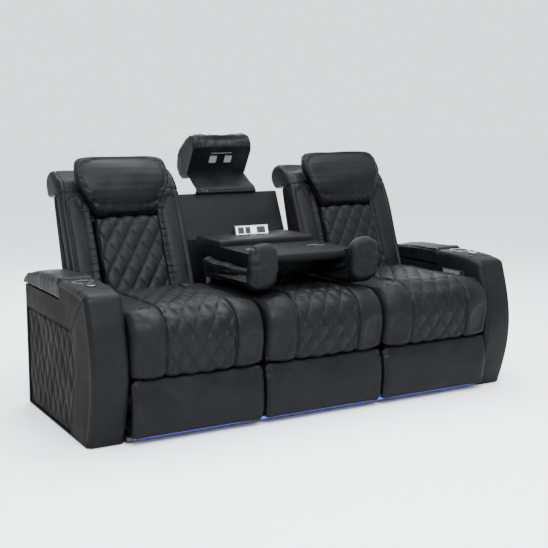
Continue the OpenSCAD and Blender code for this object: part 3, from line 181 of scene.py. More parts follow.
# %% Sockets as numbers
class Wire:
    """An output socket of a shader tree that can be added, multiplied and so on."""

    def __init__(self, tree, socket=None):
        self.tree, self.socket = tree, socket

    def node(self, kind, settings=None, inputs=None, out=0):
        """Any node: its type, its settings, and the values or wires of its sockets."""
        made = self.tree.nodes.new(kind)
        for key, value in (settings or {}).items():
            setattr(made, key, value)
        for key, value in (inputs or {}).items():
            if isinstance(value, Wire):
                self.tree.links.new(value.socket, made.inputs[key])
            else:
                made.inputs[key].default_value = value
        return Wire(self.tree, made.outputs[out])

    def math(self, operation, *others):
        """A Math node with this wire first."""
        inputs = dict(enumerate((self, *others)))
        return self.node("ShaderNodeMath", {"operation": operation}, inputs)

    def __add__(self, other):
        return self.math("ADD", other)

    def __sub__(self, other):
        return self.math("SUBTRACT", other)

    def __rsub__(self, other):
        return self.node("ShaderNodeMath", {"operation": "SUBTRACT"}, {0: other, 1: self})

    def __mul__(self, other):
        return self.math("MULTIPLY", other)

    def __truediv__(self, other):
        return self.math("DIVIDE", other)

    __radd__, __rmul__ = __add__, __mul__

    def ramp(self, low, high, to_low=0.0, to_high=1.0):
        """Goes smoothly from one value to another while the wire goes from low to high."""
        values = {0: self, 1: low, 2: high, 3: to_low, 4: to_high}
        return self.node("ShaderNodeMapRange", {"interpolation_type": "SMOOTHSTEP"}, values)

    def noise(self, scale, detail, **more):
        """Soft random values at this place."""
        inputs = {"Vector": self, "Scale": scale, "Detail": detail, **more}
        return self.node("ShaderNodeTexNoise", inputs=inputs)

    def part(self, k):
        """X, Y or Z of a vector: 0, 1 or 2."""
        return self.node("ShaderNodeSeparateXYZ", inputs={0: self}, out=k)

    def mix(self, low, high):
        """A colour between two colours or wires, by this share."""
        low, high = (c if isinstance(c, Wire) else (*c, 1) for c in (low, high))
        return self.node("ShaderNodeMix", {"data_type": "RGBA"}, {0: self, 6: low, 7: high}, out=2)


def new_material(name):
    """A material, the wire of its object coordinates to start expressions from, and its principled shader."""
    made = bpy.data.materials.new(name)
    made.use_nodes = True
    here = Wire(made.node_tree).node("ShaderNodeTexCoord", out="Object")
    return made, here, made.node_tree.nodes["Principled BSDF"]


def feed_bump(shader, height, strength):
    """Bumps the surface by a millimetre where the height goes from 0 to 1."""
    inputs = {"Height": height, "Distance": MM, "Strength": strength}
    feed(shader, "Normal", height.node("ShaderNodeBump", inputs=inputs))


def feed(shader, socket, value):
    """Puts a wire or a plain value on one of the shader's sockets."""
    if isinstance(value, Wire):
        value.tree.links.new(value.socket, shader.inputs[socket])
    else:
        shader.inputs[socket].default_value = value


# %% [markdown]
# The leather is black, corrected grain with a semi-matte coat. Three scales matter: a fine pebble that
# breaks up highlights, soft creases a few millimetres wide, and broad differences of gloss where hands and
# backs polish it. The quilted pieces add a row of thread beside each stitch line, from the UVs, which are
# in metres on the hide.

# %% Leather
PEBBLE = 620.0
CREASE = 46.0
BROAD = 7.0
THREAD_GAP = 3.4 * MM
THREAD_W = 0.9 * MM
STITCH = 3.5 * MM
COAT_ROUGHNESS, HIDE_IOR = 0.28, 1.13


def leather(name, dark, light, rough, coat=0.0, creases=1.0, thread=None, sheen=0.85):
    """Black leather; thread is the (width, height) of the quilting's diamonds where it has any."""
    made, here, shader = new_material(name)
    pebble = here.node("ShaderNodeTexVoronoi", {"feature": "F1"}, {"Vector": here, "Scale": PEBBLE})
    soft = here.noise(CREASE, 5.0, Distortion=0.6)
    broad = here.noise(BROAD, 2.0)
    crackle = here.node(
        "ShaderNodeTexVoronoi", {"feature": "DISTANCE_TO_EDGE"},
        {"Vector": here, "Scale": CREASE * 4, "Randomness": 1.0},
    )
    crack = crackle.ramp(0.0, 0.16, -1.0, 0.0) * broad.ramp(0.42, 0.62)
    height = pebble * -0.06 + soft * (0.9 * creases) + crack * (0.22 * creases)
    colour = (broad * 0.6 + soft * 0.4).ramp(0.3, 0.72).mix(dark, light)
    roughness = broad.ramp(0.35, 0.65, rough - 0.05, rough + 0.06) + pebble * 0.06
    if thread:
        uv = here.node("ShaderNodeUVMap")
        u, v = uv.part(0), uv.part(1)
        width, tall = thread
        scale = math.hypot(1 / width, 1 / tall)
        row = None
        for sign in (1, -1):
            across = (u / width + v / tall * sign).math("PINGPONG", 0.5) / scale
            along = (u / tall - v / width * sign) * (width * tall / math.hypot(width, tall)) / STITCH
            near = (across - THREAD_GAP).math("ABSOLUTE").ramp(THREAD_W * 0.5, THREAD_W, 1.0, 0.0)
            stitch = near * along.math("FRACT").ramp(0.12, 0.3)
            row = stitch if row is None else row.math("MAXIMUM", stitch)
        height = height + row * 0.5
        roughness = roughness + row * 0.15
    feed(shader, "Base Color", colour)
    feed(shader, "Roughness", roughness)
    feed(shader, "Coat Weight", coat)
    shader.inputs["Coat Roughness"].default_value = COAT_ROUGHNESS
    shader.inputs["IOR"].default_value = HIDE_IOR
    shader.inputs["Specular IOR Level"].default_value = sheen
    feed_bump(shader, height, 0.9)
    return made


SEAT_DIAMOND = (77.5 * MM, 116 * MM)
ARM_DIAMOND = (70 * MM, 150 * MM)
HIDE_TONES = (0.0026, 0.00265, 0.0031), (0.0054, 0.0055, 0.0065)
OUTER_TONES = (0.0028, 0.0022, 0.0021), (0.0048, 0.0039, 0.0037)
TABLE_TONES = (0.002, 0.0021, 0.0025), (0.0038, 0.004, 0.0047)
hide = leather("black leather", *HIDE_TONES, 0.5, 0.02)
quilted = leather("quilted leather", *HIDE_TONES, 0.5, 0.02, 0.7, SEAT_DIAMOND)
outer = leather("outer leather", *OUTER_TONES, 0.62, 0.0, 0.6, sheen=0.6)
outer_quilted = leather("outer quilted leather", *OUTER_TONES, 0.6, 0.0, 0.5, ARM_DIAMOND, 0.6)
board = leather("table leather", *TABLE_TONES, 0.7, 0.0, 0.5, sheen=0.55)
print("leathers:", hide.name, quilted.name, outer.name, outer_quilted.name)

# %% [markdown]
# The hard pieces: bright steel cup rings and dock, zinc-plated links, black painted frame, raw timber,
# black moulded plastic, silver rockers, the lamps' lenses and the glowing strip under the front.


# %% Hard finishes
def hard(name, dark, light, rough, metal=0.0, grain=(40.0, 40.0, 40.0), depth=0.05):
    """A hard finish: its colour and gloss vary a little with a stretched grain."""
    made, here, shader = new_material(name)
    lie = here.node("ShaderNodeVectorMath", {"operation": "MULTIPLY"}, {0: here, 1: grain})
    noise = lie.noise(1.0, 4.0)
    fine = here.noise(900.0, 1.0)
    feed(shader, "Base Color", noise.ramp(0.35, 0.65).mix(dark, light))
    feed(shader, "Roughness", noise.ramp(0.3, 0.7, rough - 0.06, rough + 0.06))
    feed(shader, "Metallic", metal)
    feed_bump(shader, noise + fine * 0.4, depth)
    return made


polished = hard("polished steel", (0.62, 0.64, 0.67), (0.74, 0.75, 0.78), 0.16, 1.0)
zinc = hard("zinc plate", (0.17, 0.175, 0.18), (0.26, 0.265, 0.27), 0.42, 1.0)
painted = hard("black paint", (0.012, 0.012, 0.013), (0.02, 0.02, 0.021), 0.42, 0.0, depth=0.12)
timber = hard("raw timber", (0.42, 0.29, 0.17), (0.58, 0.43, 0.27), 0.6, 0.0, (60.0, 5.0, 60.0), 0.3)
plastic = hard("black plastic", (0.012, 0.012, 0.013), (0.018, 0.018, 0.02), 0.38, 0.0, depth=0.1)
silver = hard("silver rockers", (0.34, 0.35, 0.37), (0.42, 0.43, 0.45), 0.3, 0.8)


def glow(name, colour, strength):
    """A lens or light strip that shines by itself."""
    made, here, shader = new_material(name)
    cells = here.node("ShaderNodeTexVoronoi", {"feature": "F1"}, {"Vector": here, "Scale": 140.0})
    feed(shader, "Base Color", cells.ramp(0.1, 0.6).mix(tuple(0.6 * c for c in colour), colour))
    feed(shader, "Emission Color", cells.ramp(0.1, 0.6).mix(tuple(0.6 * c for c in colour), colour))
    feed(shader, "Roughness", 0.25)
    shader.inputs["Emission Strength"].default_value = strength
    return made


led = glow("blue strip", (0.03, 0.05, 1.0), 1.1)
lens = glow("lamp lens", (0.17, 0.165, 0.165), 0.12)

# %% [markdown]
# Most of the sofa is stuffed leather. Each form is a stack of closed rings, like slices of a loaf, in an
# array of rings by points by three. That keeps every vertex at a known place on the hide, so seams and
# quilting can be worked out as plain functions, and the UVs come for free. Blender's Cloth then puffs the
# form up.


# %% Curves and rings
SPAN_POINTS, WAVE_COUNT, CLOTH_FRAMES = 10, 14, 16
PAST_FACE = 20 * MM
EDGE_STEPS = np.array([0, 0.06, 0.2, 0.42, 0.7, 1])
HIDE_CLOTH = {
    "quality": 5, "mass": 0.4, "tension_stiffness": 30, "compression_stiffness": 30, "shear_stiffness": 12,
    "bending_stiffness": 1.2, "use_pressure": True,
}


def smooth(points, closed=False):
    """A smooth curve through the given points."""
    p = np.asarray(points, float)
    n = len(p)
    reach = n if closed else n - 1
    pick = (lambda k: p[k % n]) if closed else (lambda k: p[min(max(k, 0), n - 1)])
    u = (np.arange(SPAN_POINTS) / SPAN_POINTS)[:, None]
    parts = []
    for k in range(reach):
        a, b, c, d = pick(k - 1), pick(k), pick(k + 1), pick(k + 2)
        bend, twist = 2 * a - 5 * b + 4 * c - d, 3 * b - a - 3 * c + d
        parts.append(0.5 * (2 * b + (c - a) * u + bend * u**2 + twist * u**3))
    return np.vstack(parts if closed else parts + [p[-1:]])


def even(path, count, closed=False):
    """Points spaced evenly along a path, and how far along it each lies."""
    q = np.vstack([path, path[:1]]) if closed else np.asarray(path)
    run = np.concatenate([[0], np.cumsum(np.linalg.norm(np.diff(q, axis=0), axis=1))])
    at = np.linspace(0, run[-1], count + 1)[:count] if closed else np.linspace(0, run[-1], count)
    return np.stack([np.interp(at, run, q[:, k]) for k in range(q.shape[1])], 1), at


def volume_sign(rings):
    """1 where the rings' own order makes outward normals, -1 where it doesn't."""
    centre = rings.mean(axis=(0, 1))
    across = np.gradient(rings, axis=0)
    along = (np.roll(rings, -1, axis=1) - np.roll(rings, 1, axis=1)) / 2
    return 1 if np.sum(np.cross(across, along) * (rings - centre)) > 0 else -1


def normals(rings):
    """Outward directions at every point of a stack of rings."""
    across = np.gradient(rings, axis=0)
    along = np.roll(rings, -1, axis=1) - np.roll(rings, 1, axis=1)
    out = np.cross(across, along) * volume_sign(rings)
    return out / np.maximum(np.linalg.norm(out, axis=2, keepdims=True), 1e-12)


def refine(rings):
    """The same form with twice as many rings and points, on a smooth surface through the old ones."""
    low = np.concatenate([2 * rings[:1] - rings[1:2], rings, 2 * rings[-1:] - rings[-2:-1]])
    middle = (9 * (low[1:-2] + low[2:-1]) - (low[:-3] + low[3:])) / 16
    out = np.empty((2 * len(rings) - 1, *rings.shape[1:]))
    out[::2], out[1::2] = rings, middle
    ahead, after, behind = np.roll(out, -1, 1), np.roll(out, -2, 1), np.roll(out, 1, 1)
    between = (9 * (out + ahead) - (behind + after)) / 16
    full = np.empty((out.shape[0], 2 * out.shape[1], 3))
    full[:, ::2], full[:, 1::2] = out, between
    return full


def doubled(values):
    """A row of values with their midpoints, as refine makes them."""
    out = np.empty(2 * len(values) - 1)
    out[::2], out[1::2] = values, (values[1:] + values[:-1]) / 2
    return out


def wrap_doubled(values):
    """A closed row of values with their midpoints, as refine makes them round a ring."""
    ahead = np.roll(values, -1)
    out = np.empty(2 * len(values))
    out[::2], out[1::2] = values, (values + ahead) / 2
    return out


def finer(rings, x, run, soft, times=2):
    """A form refined together with the values that go with it."""
    for _ in range(times):
        rings, x, run, soft = refine(rings), doubled(x), wrap_doubled(run), wrap_doubled(soft)
    return rings, x, run, soft


def spread(rings, x, run):
    """The place on X and the run along the hide of every point of a form."""
    return np.broadcast_to(x[:, None], rings.shape[:2]), np.broadcast_to(run[None], rings.shape[:2])


def lifted(rings, lift):
    """A form with every point moved out along its own normal."""
    return rings + lift[..., None] * normals(rings)


def waves(a, b, size, seed):
    """Smooth random waves over two arrays of metres, between about -1 and 1."""
    rng = np.random.default_rng(seed)
    total = np.zeros(np.broadcast(a, b).shape)
    for _ in range(WAVE_COUNT):
        turn, length = rng.uniform(0, math.tau), size * rng.uniform(0.6, 1.7)
        start = rng.uniform(0, math.tau)
        total = total + np.sin(math.tau * (a * math.cos(turn) + b * math.sin(turn)) / length + start)
    return total / math.sqrt(WAVE_COUNT)


def add_object(name, points, faces, material):
    """A smooth mesh object with one material."""
    mesh = bpy.data.meshes.new(name)
    mesh.from_pydata(np.reshape(points, (-1, 3)).tolist(), [], faces)
    made = bpy.data.objects.new(name, mesh)
    bpy.context.scene.collection.objects.link(made)
    mesh.materials.append(material)
    mesh.polygons.foreach_set("use_smooth", [True] * len(mesh.polygons))
    return made


def sheet(name, points, material, turned=False):
    """An open grid of points as a mesh; turned says that its front is the other side."""
    n, m = points.shape[:2]
    corners = [i * m + j for i in range(n - 1) for j in range(m - 1)]
    faces = [(k, k + m, k + m + 1, k + 1) if turned else (k, k + 1, k + m + 1, k + m) for k in corners]
    return add_object(name, points, faces, material)


def apply_modifiers(piece):
    """Makes what a piece's modifiers show its own mesh."""
    shown = piece.evaluated_get(bpy.context.evaluated_depsgraph_get())
    mesh = bpy.data.meshes.new_from_object(shown)
    piece.modifiers.clear()
    piece.data = mesh


def lay_out(mesh, uv):
    """Gives every vertex its place on the flat hide, in metres."""
    loops = np.zeros(len(mesh.loops), int)
    mesh.loops.foreach_get("vertex_index", loops)
    mesh.uv_layers.new(name="hide").data.foreach_set("uv", uv[loops].ravel())


def ringed(name, rings, material, uv=None):
    """A closed mesh through a stack of rings; one flat face closes each end."""
    n, m = rings.shape[:2]
    faces = [
        (i * m + j, i * m + (j + 1) % m, (i + 1) * m + (j + 1) % m, (i + 1) * m + j)
        for i in range(n - 1) for j in range(m)
    ]
    faces += [tuple(range(m))[::-1], tuple(range((n - 1) * m, n * m))]
    if volume_sign(rings) < 0:
        faces = [f[::-1] for f in faces]
    made = add_object(name, rings, faces, material)
    mesh = made.data
    for end in (-2, -1):
        mesh.polygons[end].use_smooth = False
    if uv is not None:
        lay_out(mesh, np.stack(np.meshgrid(*uv, indexing="ij"), -1).reshape(-1, 2))
    return made


def puff(rings, freedom, pressure, cap):
    """Cloth under pressure. Points with no freedom are pinned, and the rest move by their share, to a cap."""
    n, m = rings.shape[:2]
    temp = ringed("puffing", rings, hide)
    free = np.zeros(len(temp.data.vertices))
    free[: n * m] = np.broadcast_to(freedom, (n, m)).ravel()
    group = temp.vertex_groups.new(name="pins")
    for k in np.nonzero(free < 0.05)[0]:
        group.add([int(k)], 1.0, "REPLACE")
    cloth = temp.modifiers.new("cloth", "CLOTH")
    settings = cloth.settings
    for key, value in HIDE_CLOTH.items():
        setattr(settings, key, value)
    settings.uniform_pressure_force = pressure
    settings.vertex_group_mass = "pins"
    settings.effector_weights.gravity = 0
    scene = bpy.context.scene
    for frame_number in range(1, CLOTH_FRAMES + 1):
        scene.frame_set(frame_number)
    moved = temp.evaluated_get(bpy.context.evaluated_depsgraph_get())
    co = np.empty(len(temp.data.vertices) * 3)
    moved.data.vertices.foreach_get("co", co)
    step = co.reshape(-1, 3)[: n * m].reshape(n, m, 3) - rings
    far = np.linalg.norm(step, axis=2, keepdims=True)
    step = step * np.minimum(1, cap / np.maximum(far, 1e-9)) * np.broadcast_to(freedom, (n, m))[..., None]
    scene.frame_set(1)
    bpy.data.objects.remove(temp)
    return rings + step


def dress(piece, body, *nodes, slot="black_leather", fill=0.7):
    """A padded piece rides on its body and stands for its CAD solids, which it hides."""
    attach(piece, body)
    if nodes:
        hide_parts(*nodes)
    return piece


def on_face(loop, values):
    """Values along a side outline's soft face, with none along the rest of it."""
    out = np.zeros(len(loop))
    out[: len(values)] = values
    return out


def full_run(loop, run):
    """The run along a soft face, and one place past its end for the whole underside."""
    out = np.full(len(loop), run[-1] + PAST_FACE)
    out[: len(run)] = run
    return out


def at_seat(rings, sx):
    """A form drawn in the sofa's middle, moved to the seat on one side of it."""
    return rings + (sx * PITCH, 0, 0)


def step_in(distance, radius):
    """How far a rounded edge falls away, from the distance to the side that it turns down to."""
    inside = np.clip(distance, 0, radius)
    return radius - np.sqrt(np.maximum(radius**2 - (radius - inside) ** 2, 0))


def groove(distance, depth, width):
    return -depth * np.exp(-((distance / width) ** 2))


def diamonds(u, v, size, rise):
    """Stuffed diamonds between crossing stitch lines: 0 on a line, rise in the middle."""
    a, b = u / size[0] + v / size[1], u / size[0] - v / size[1]
    return rise * np.abs(np.sin(math.pi * a) * np.sin(math.pi * b)) ** 0.42


def fade(values, low, high):
    t = np.clip((values - low) / (high - low), 0, 1)
    return t * t * (3 - 2 * t)


# %% [markdown]
# Seat cushions. Foam wrapped in leather: a quilted strip runs up the front and over the seat between two
# plain bolsters, and the bolsters swell more than the strip because no quilting holds them down. The hide
# gathers into small pleats beside both seams, most of all over the nose, where it turns.

# %% Seat cushions
SEAT_TOP_Z, SEAT_BACK_Z, LIP_Z = 541, 529, 287
QUILT_HALF = 155 * MM
SEAT_SOFT = [
    (515, SEAT_BACK_Z), (400, 537), (250, SEAT_TOP_Z), (110, SEAT_TOP_Z), (20, 536), (-38, 512), (-72, 476),
    (-86, 420), (-81, 352), (-72, 304), (-64, LIP_Z),
]
SEAT_UNDER = [(-51, 291), (-32, 304), (-16, 330), (-13, 398), (60, 400), (300, 400), (505, 400), (515, 440)]
SOFT_POINTS, UNDER_POINTS = 76, 26
SEAT_EDGE_R = 27 * MM
NOSE_BOW, TOP_CROWN, BOLSTER_RISE = 17 * MM, 7 * MM, 12 * MM
SEAT_SEAM, GATHER = 8 * MM, 2.4 * MM
SEAT_PUFF = (3.0, 14 * MM)
SEAT_RISE = 9 * MM
SIDE_GAP = 0.4 * MM


def stations(half, seam, edge_r, step=13 * MM):
    """Places across a cushion, close together at its sides and with one on each seam."""
    edge = half - edge_r * EDGE_STEPS
    plain = np.linspace(edge[-1], seam, max(2, round((edge[-1] - seam) / step)) + 1)[1:]
    inner = np.linspace(seam, 0, round(seam / step) + 1)[1:]
    right = np.concatenate([edge, plain, inner])
    return np.concatenate([-right[:-1], right[::-1]])


def side_loop(soft, under, soft_count, under_count):
    """A closed side outline, its soft face first and then its flat underside, and the run along the face."""
    face, run = even(smooth(soft), soft_count)
    back, _ = even(smooth([soft[-1], *under, soft[0]]), under_count + 2)
    loop = np.vstack([face, back[1:-1]]) * MM
    return loop, run * MM


def swept(loop, x, swell):
    """Rings of one side outline at many places on X, swelled along the outline's own outward normal."""
    tangent = np.roll(loop, -1, 0) - np.roll(loop, 1, 0)
    out = np.stack([tangent[:, 1], -tangent[:, 0]], 1)
    out /= np.linalg.norm(out, axis=1, keepdims=True)
    if np.sum(out * (loop - loop.mean(0))) < 0:
        out = -out
    rings = np.empty((len(x), len(loop), 3))
    rings[..., 0] = x[:, None]
    rings[..., 1:] = loop[None] + swell[..., None] * out[None]
    rings[..., 1] += FRONT_Y
    return rings


def seat_rings():
    """The puffed cushion before its seams: its rings, their places on X and the run along its face."""
    loop, run = side_loop(SEAT_SOFT, SEAT_UNDER, SOFT_POINTS, UNDER_POINTS)
    x = stations(SEAT_W / 2, QUILT_HALF, SEAT_EDGE_R)
    share = (2 * x / SEAT_W)[:, None]
    soft = on_face(loop, fade(run, 0, 30 * MM) * (1 - fade(run, run[-1] - 12 * MM, run[-1] + 20 * MM)))
    nose = on_face(loop, fade(run, 0.45 * run[-1], 0.62 * run[-1]))
    crown = (TOP_CROWN + (NOSE_BOW - TOP_CROWN) * nose)[None] * (1 - share**2)
    edge = step_in(SEAT_W / 2 - np.abs(x), SEAT_EDGE_R)[:, None]
    plain = np.clip((np.abs(x) - QUILT_HALF) / (SEAT_W / 2 - QUILT_HALF), 0, 1)[:, None]
    hold = np.maximum(soft, 0.35 * (edge > 0))[None]
    swell = (crown + BOLSTER_RISE * np.sin(math.pi * plain**0.8) - edge) * hold
    rings = swept(loop, x, swell)
    freedom = soft[None] * np.where(np.abs(x) > QUILT_HALF + MM, 1.0, 0.35)[:, None]
    freedom[[0, 1, -2, -1]] = 0
    freedom[np.abs(np.abs(x) - QUILT_HALF) < 2 * MM] = 0
    return puff(rings, freedom, *SEAT_PUFF), x, full_run(loop, run), soft


seat_form = seat_rings()


def sew(rings, x, run, soft, seams, seed, quilt_half):
    """What the needle does: diamonds in the quilted strip, a groove on each seam and pleats beside it."""
    rings, x, run, soft = finer(rings, x, run, soft)
    X, S = spread(rings, x, run)
    lift = np.zeros(rings.shape[:2])
    inside = fade(quilt_half - np.abs(X), 0, 9 * MM) * fade(S, 4 * MM, 16 * MM) * soft[None]
    lift += (diamonds(X, S, SEAT_DIAMOND, SEAT_RISE) - 0.35 * SEAT_RISE) * inside
    for seam in seams:
        gap = np.abs(X) - seam
        lift += groove(gap, SEAT_SEAM, 6 * MM) * soft[None]
        pleat = waves(S, 0 * S, 26 * MM, seed) * (0.6 + 0.4 * waves(S, X, 160 * MM, seed + 1))
        reach = np.exp(-np.abs(gap) / (20 * MM)) * (1 - np.exp(-((gap / (5 * MM)) ** 2)))
        lift += GATHER * pleat * reach * (gap > 0) * soft[None]
    lift += 1.6 * MM * waves(X, S, 240 * MM, seed + 2) * soft[None]
    return lifted(rings, lift), x, run


for side, sx, body in (("left", -1, "left_seat"), ("centre", 0, "sofa_frame"), ("right", 1, "right_seat")):
    rings, x, run = sew(*seat_form, (QUILT_HALF,), 11 + 7 * sx, QUILT_HALF)
    rings[..., 0] = np.clip(rings[..., 0], SIDE_GAP - SEAT_W / 2, SEAT_W / 2 - SIDE_GAP) + sx * PITCH
    cushion = ringed(side + "_seat_leather", rings, quilted, (x, run))
    dress(cushion, body, side + "_seat_cushion")
print("seat cushion:", len(cushion.data.vertices), "vertices each")

# %% [markdown]
# Footrest pads and the fixed panel under the middle seat. Each is a board with foam over it and one smooth
# sheet of leather pulled round, fullest at mid height, with faint strain lines running down from its upper
# corners.

# %% Footrest pads
PAD_LOW, PAD_BACK_Y = 32, -45
PAD_FACE = [
    (PAD_BACK_Y - 2, 254), (-53, 267), (-64, 268), (-75, 252), (-86, 215), (-92, 165), (-92, 130), (-86, 82),
    (-75, 48), (-67, 35), (-58, PAD_LOW),
]
PAD_REAR = [(-50, 34), (PAD_BACK_Y, 50), (PAD_BACK_Y, 150), (PAD_BACK_Y, 240)]
PAD_HALF = (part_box("centre_front_panel")[1].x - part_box("centre_front_panel")[0].x) / 2
PAD_EDGE_R = 20 * MM
PAD_PUFF = (2.5, 6 * MM)


def pad_rings():
    loop, run = side_loop(PAD_FACE, PAD_REAR, 30, 16)
    x = stations(PAD_HALF, 200 * MM, PAD_EDGE_R, 18 * MM)
    soft = on_face(loop, fade(run, 0, 14 * MM) * (1 - fade(run, run[-1] - 14 * MM, run[-1])))
    edge = step_in(PAD_HALF - np.abs(x), PAD_EDGE_R)[:, None]
    rings = swept(loop, x, -edge * np.maximum(soft, 0.4)[None])
    freedom = np.broadcast_to(soft[None], rings.shape[:2]).copy()
    freedom[[0, 1, -2, -1]] = 0
    return puff(rings, freedom, *PAD_PUFF), x, full_run(loop, run), soft


pad_form = pad_rings()


def strained(rings, x, run, soft, seed):
    """Faint strain lines that run in from the corners, and a broad unevenness."""
    rings, x, run, soft = finer(rings, x, run, soft, 1)
    X, S = spread(rings, x, run)
    corner = np.exp(-(PAD_HALF - np.abs(X)) / (60 * MM)) * (1 - fade(S, 60 * MM, 160 * MM))
    lift = 2.2 * MM * corner * waves(X + S, X - S, 34 * MM, seed)
    lift = lift + 1.2 * MM * waves(X, S, 170 * MM, seed + 1)
    return lifted(rings, lift * soft[None]), x, run


for side, sx, body, node in (
    ("left", -1, "left_footrest", "left_footrest_pad"), ("centre", 0, "sofa_frame", "centre_front_panel"),
    ("right", 1, "right_footrest", "right_footrest_pad"),
):
    rings, x, run = strained(*pad_form, 31 + 5 * sx)
    dress(ringed(side + "_footrest_leather", at_seat(rings, sx), hide, (x, run)), body, node, fill=0.8)

# %% [markdown]
# The backs lean, so their pieces are drawn in the back's own frame: across, out of its rear and up along
# the lean from the recline hinge. The bolsters and the rolled top are one shell whose face drops back
# behind the lumbar pad. A seam crosses each bolster below the headrest and another follows its outer edge.

# %% Backs
LEAN = math.radians(23)
HINGE = (560, 430)
BACK_H, ROLL_R, ROLL_Y = 704, 63, 97
BOLSTER_IN = 163 * MM
BOLSTER_CROWN, BACK_EDGE_R = 25 * MM, 26 * MM
BACK_PUFF = (2.5, 10 * MM)
BACK_FRONT = [(8, 590), (-2, 545), (-7, 490), (-9, 420), (-10, 330), (-10, 230), (-8, 130), (-2, 60), (6, 44)]
BACK_REAR = [(33, 44), (35, 160), (35, 380), (35, 560), (64, 574)]


def lean_back(rings):
    """Rings of the back's own frame (X, out of the rear, up the lean), stood in the sofa."""
    out = np.empty_like(rings)
    y, s = rings[..., 1] - FRONT_Y, rings[..., 2]
    out[..., 0] = rings[..., 0]
    out[..., 1] = FRONT_Y + HINGE[0] * MM + s * math.sin(LEAN) + y * math.cos(LEAN)
    out[..., 2] = HINGE[1] * MM + s * math.cos(LEAN) - y * math.sin(LEAN)
    return out


def roll_arc(first, last, count):
    turn = np.radians(np.linspace(first, last, count))
    return [(ROLL_Y + ROLL_R * math.cos(a), BACK_H - ROLL_R + ROLL_R * math.sin(a)) for a in turn]


def wing_rings():
    face = roll_arc(-55, 150, 8) + BACK_FRONT
    loop, run = side_loop(face, BACK_REAR, 92, 34)
    x = stations(SEAT_W / 2, BOLSTER_IN, BACK_EDGE_R)
    soft = on_face(loop, fade(run, 10 * MM, 50 * MM) * (1 - fade(run, run[-1] - 10 * MM, run[-1])))
    roll = on_face(loop, 1 - fade(run, 200 * MM, 300 * MM))
    edge = step_in(SEAT_W / 2 - np.abs(x), BACK_EDGE_R)[:, None]
    plain = np.clip((np.abs(x) - BOLSTER_IN) / (SEAT_W / 2 - BOLSTER_IN), 0, 1)[:, None]
    inner = (np.abs(x) < BOLSTER_IN - MM)[:, None]
    crown = BOLSTER_CROWN * np.sin(math.pi * np.clip(plain * 0.9 + 0.06, 0, 1)) ** 0.7 * (1 - roll)[None]
    crown = np.where(inner, 0, crown)
    rings = swept(loop, x, crown * soft[None] - edge * (0.35 + 0.65 * soft)[None])
    drop = np.where(inner, 34 * MM, 0) * (1 - roll)[None] * soft[None]
    rings[..., 1] += drop
    freedom = soft[None] * np.where(inner, 0.0, 1.0)
    freedom = np.maximum(freedom, (roll * soft * 0.6)[None])
    freedom[[0, 1, -2, -1]] = 0
    freedom[np.abs(np.abs(x) - BOLSTER_IN) < 2 * MM] = 0
    return puff(rings, freedom, *BACK_PUFF), x, full_run(loop, run), soft


wing_form = wing_rings()
WING_SEAM_RUN = 345 * MM


def wing_detail(rings, x, run, soft, seed):
    rings, x, run, soft = finer(rings, x, run, soft)
    X, S = spread(rings, x, run)
    bolster = fade(np.abs(X), BOLSTER_IN, BOLSTER_IN + 8 * MM) * soft[None]
    lift = groove(S - WING_SEAM_RUN, 5 * MM, 5 * MM) * bolster
    near = np.exp(-np.abs(S - WING_SEAM_RUN) / (26 * MM))
    lift = lift + 2.0 * MM * near * waves(X, 0 * X, 24 * MM, seed) * bolster
    inner = np.exp(-np.abs(np.abs(X) - BOLSTER_IN - 6 * MM) / (18 * MM))
    inner = inner * (1 - fade(-S, -WING_SEAM_RUN, -0.2))
    lift = lift + 2.2 * MM * inner * waves(S, 0 * S, 28 * MM, seed + 1) * bolster
    lift = lift + groove(np.abs(X) - (SEAT_W / 2 - 30 * MM), 3.5 * MM, 4 * MM) * bolster
    lift = lift + 1.8 * MM * waves(X, S, 260 * MM, seed + 2) * soft[None]
    return lifted(rings, lift), x, run


LUMBAR_HALF = 154 * MM
LUMBAR_TOP = 428
LUMBAR_FACE = [
    (25, LUMBAR_TOP), (-20, LUMBAR_TOP), (-37, 416), (-42, 380), (-42, 250), (-42, 110), (-38, 62), (-22, 46),
    (20, 44),
]
LUMBAR_REAR = [(26, 120), (26, 240), (26, 360)]


def quilted_pad(pad_face, pad_rear, crown):
    """A pad from its side outline: its rings, their places on X, the run along its face and its soft part."""
    loop, run = side_loop(pad_face, pad_rear, 44, 20)
    x = stations(LUMBAR_HALF, LUMBAR_HALF - 34 * MM, 20 * MM)
    soft = on_face(loop, fade(run, 10 * MM, 60 * MM) * (1 - fade(run, run[-1] - 60 * MM, run[-1] - 10 * MM)))
    edge = step_in(LUMBAR_HALF - np.abs(x), 20 * MM)[:, None]
    rings = swept(loop, x, (crown * (1 - (x / LUMBAR_HALF) ** 2)[:, None] - 0.8 * edge) * soft[None])
    return rings, x, full_run(loop, run), soft


lumbar_form = quilted_pad(LUMBAR_FACE, LUMBAR_REAR, 5 * MM)

# %% [markdown]
# A headrest is a stuffed case of three pieces: a face and two side gussets, joined by seams that bow with
# the filling. Its rings are stacked along the lean, narrow at the foot and widest near the top.

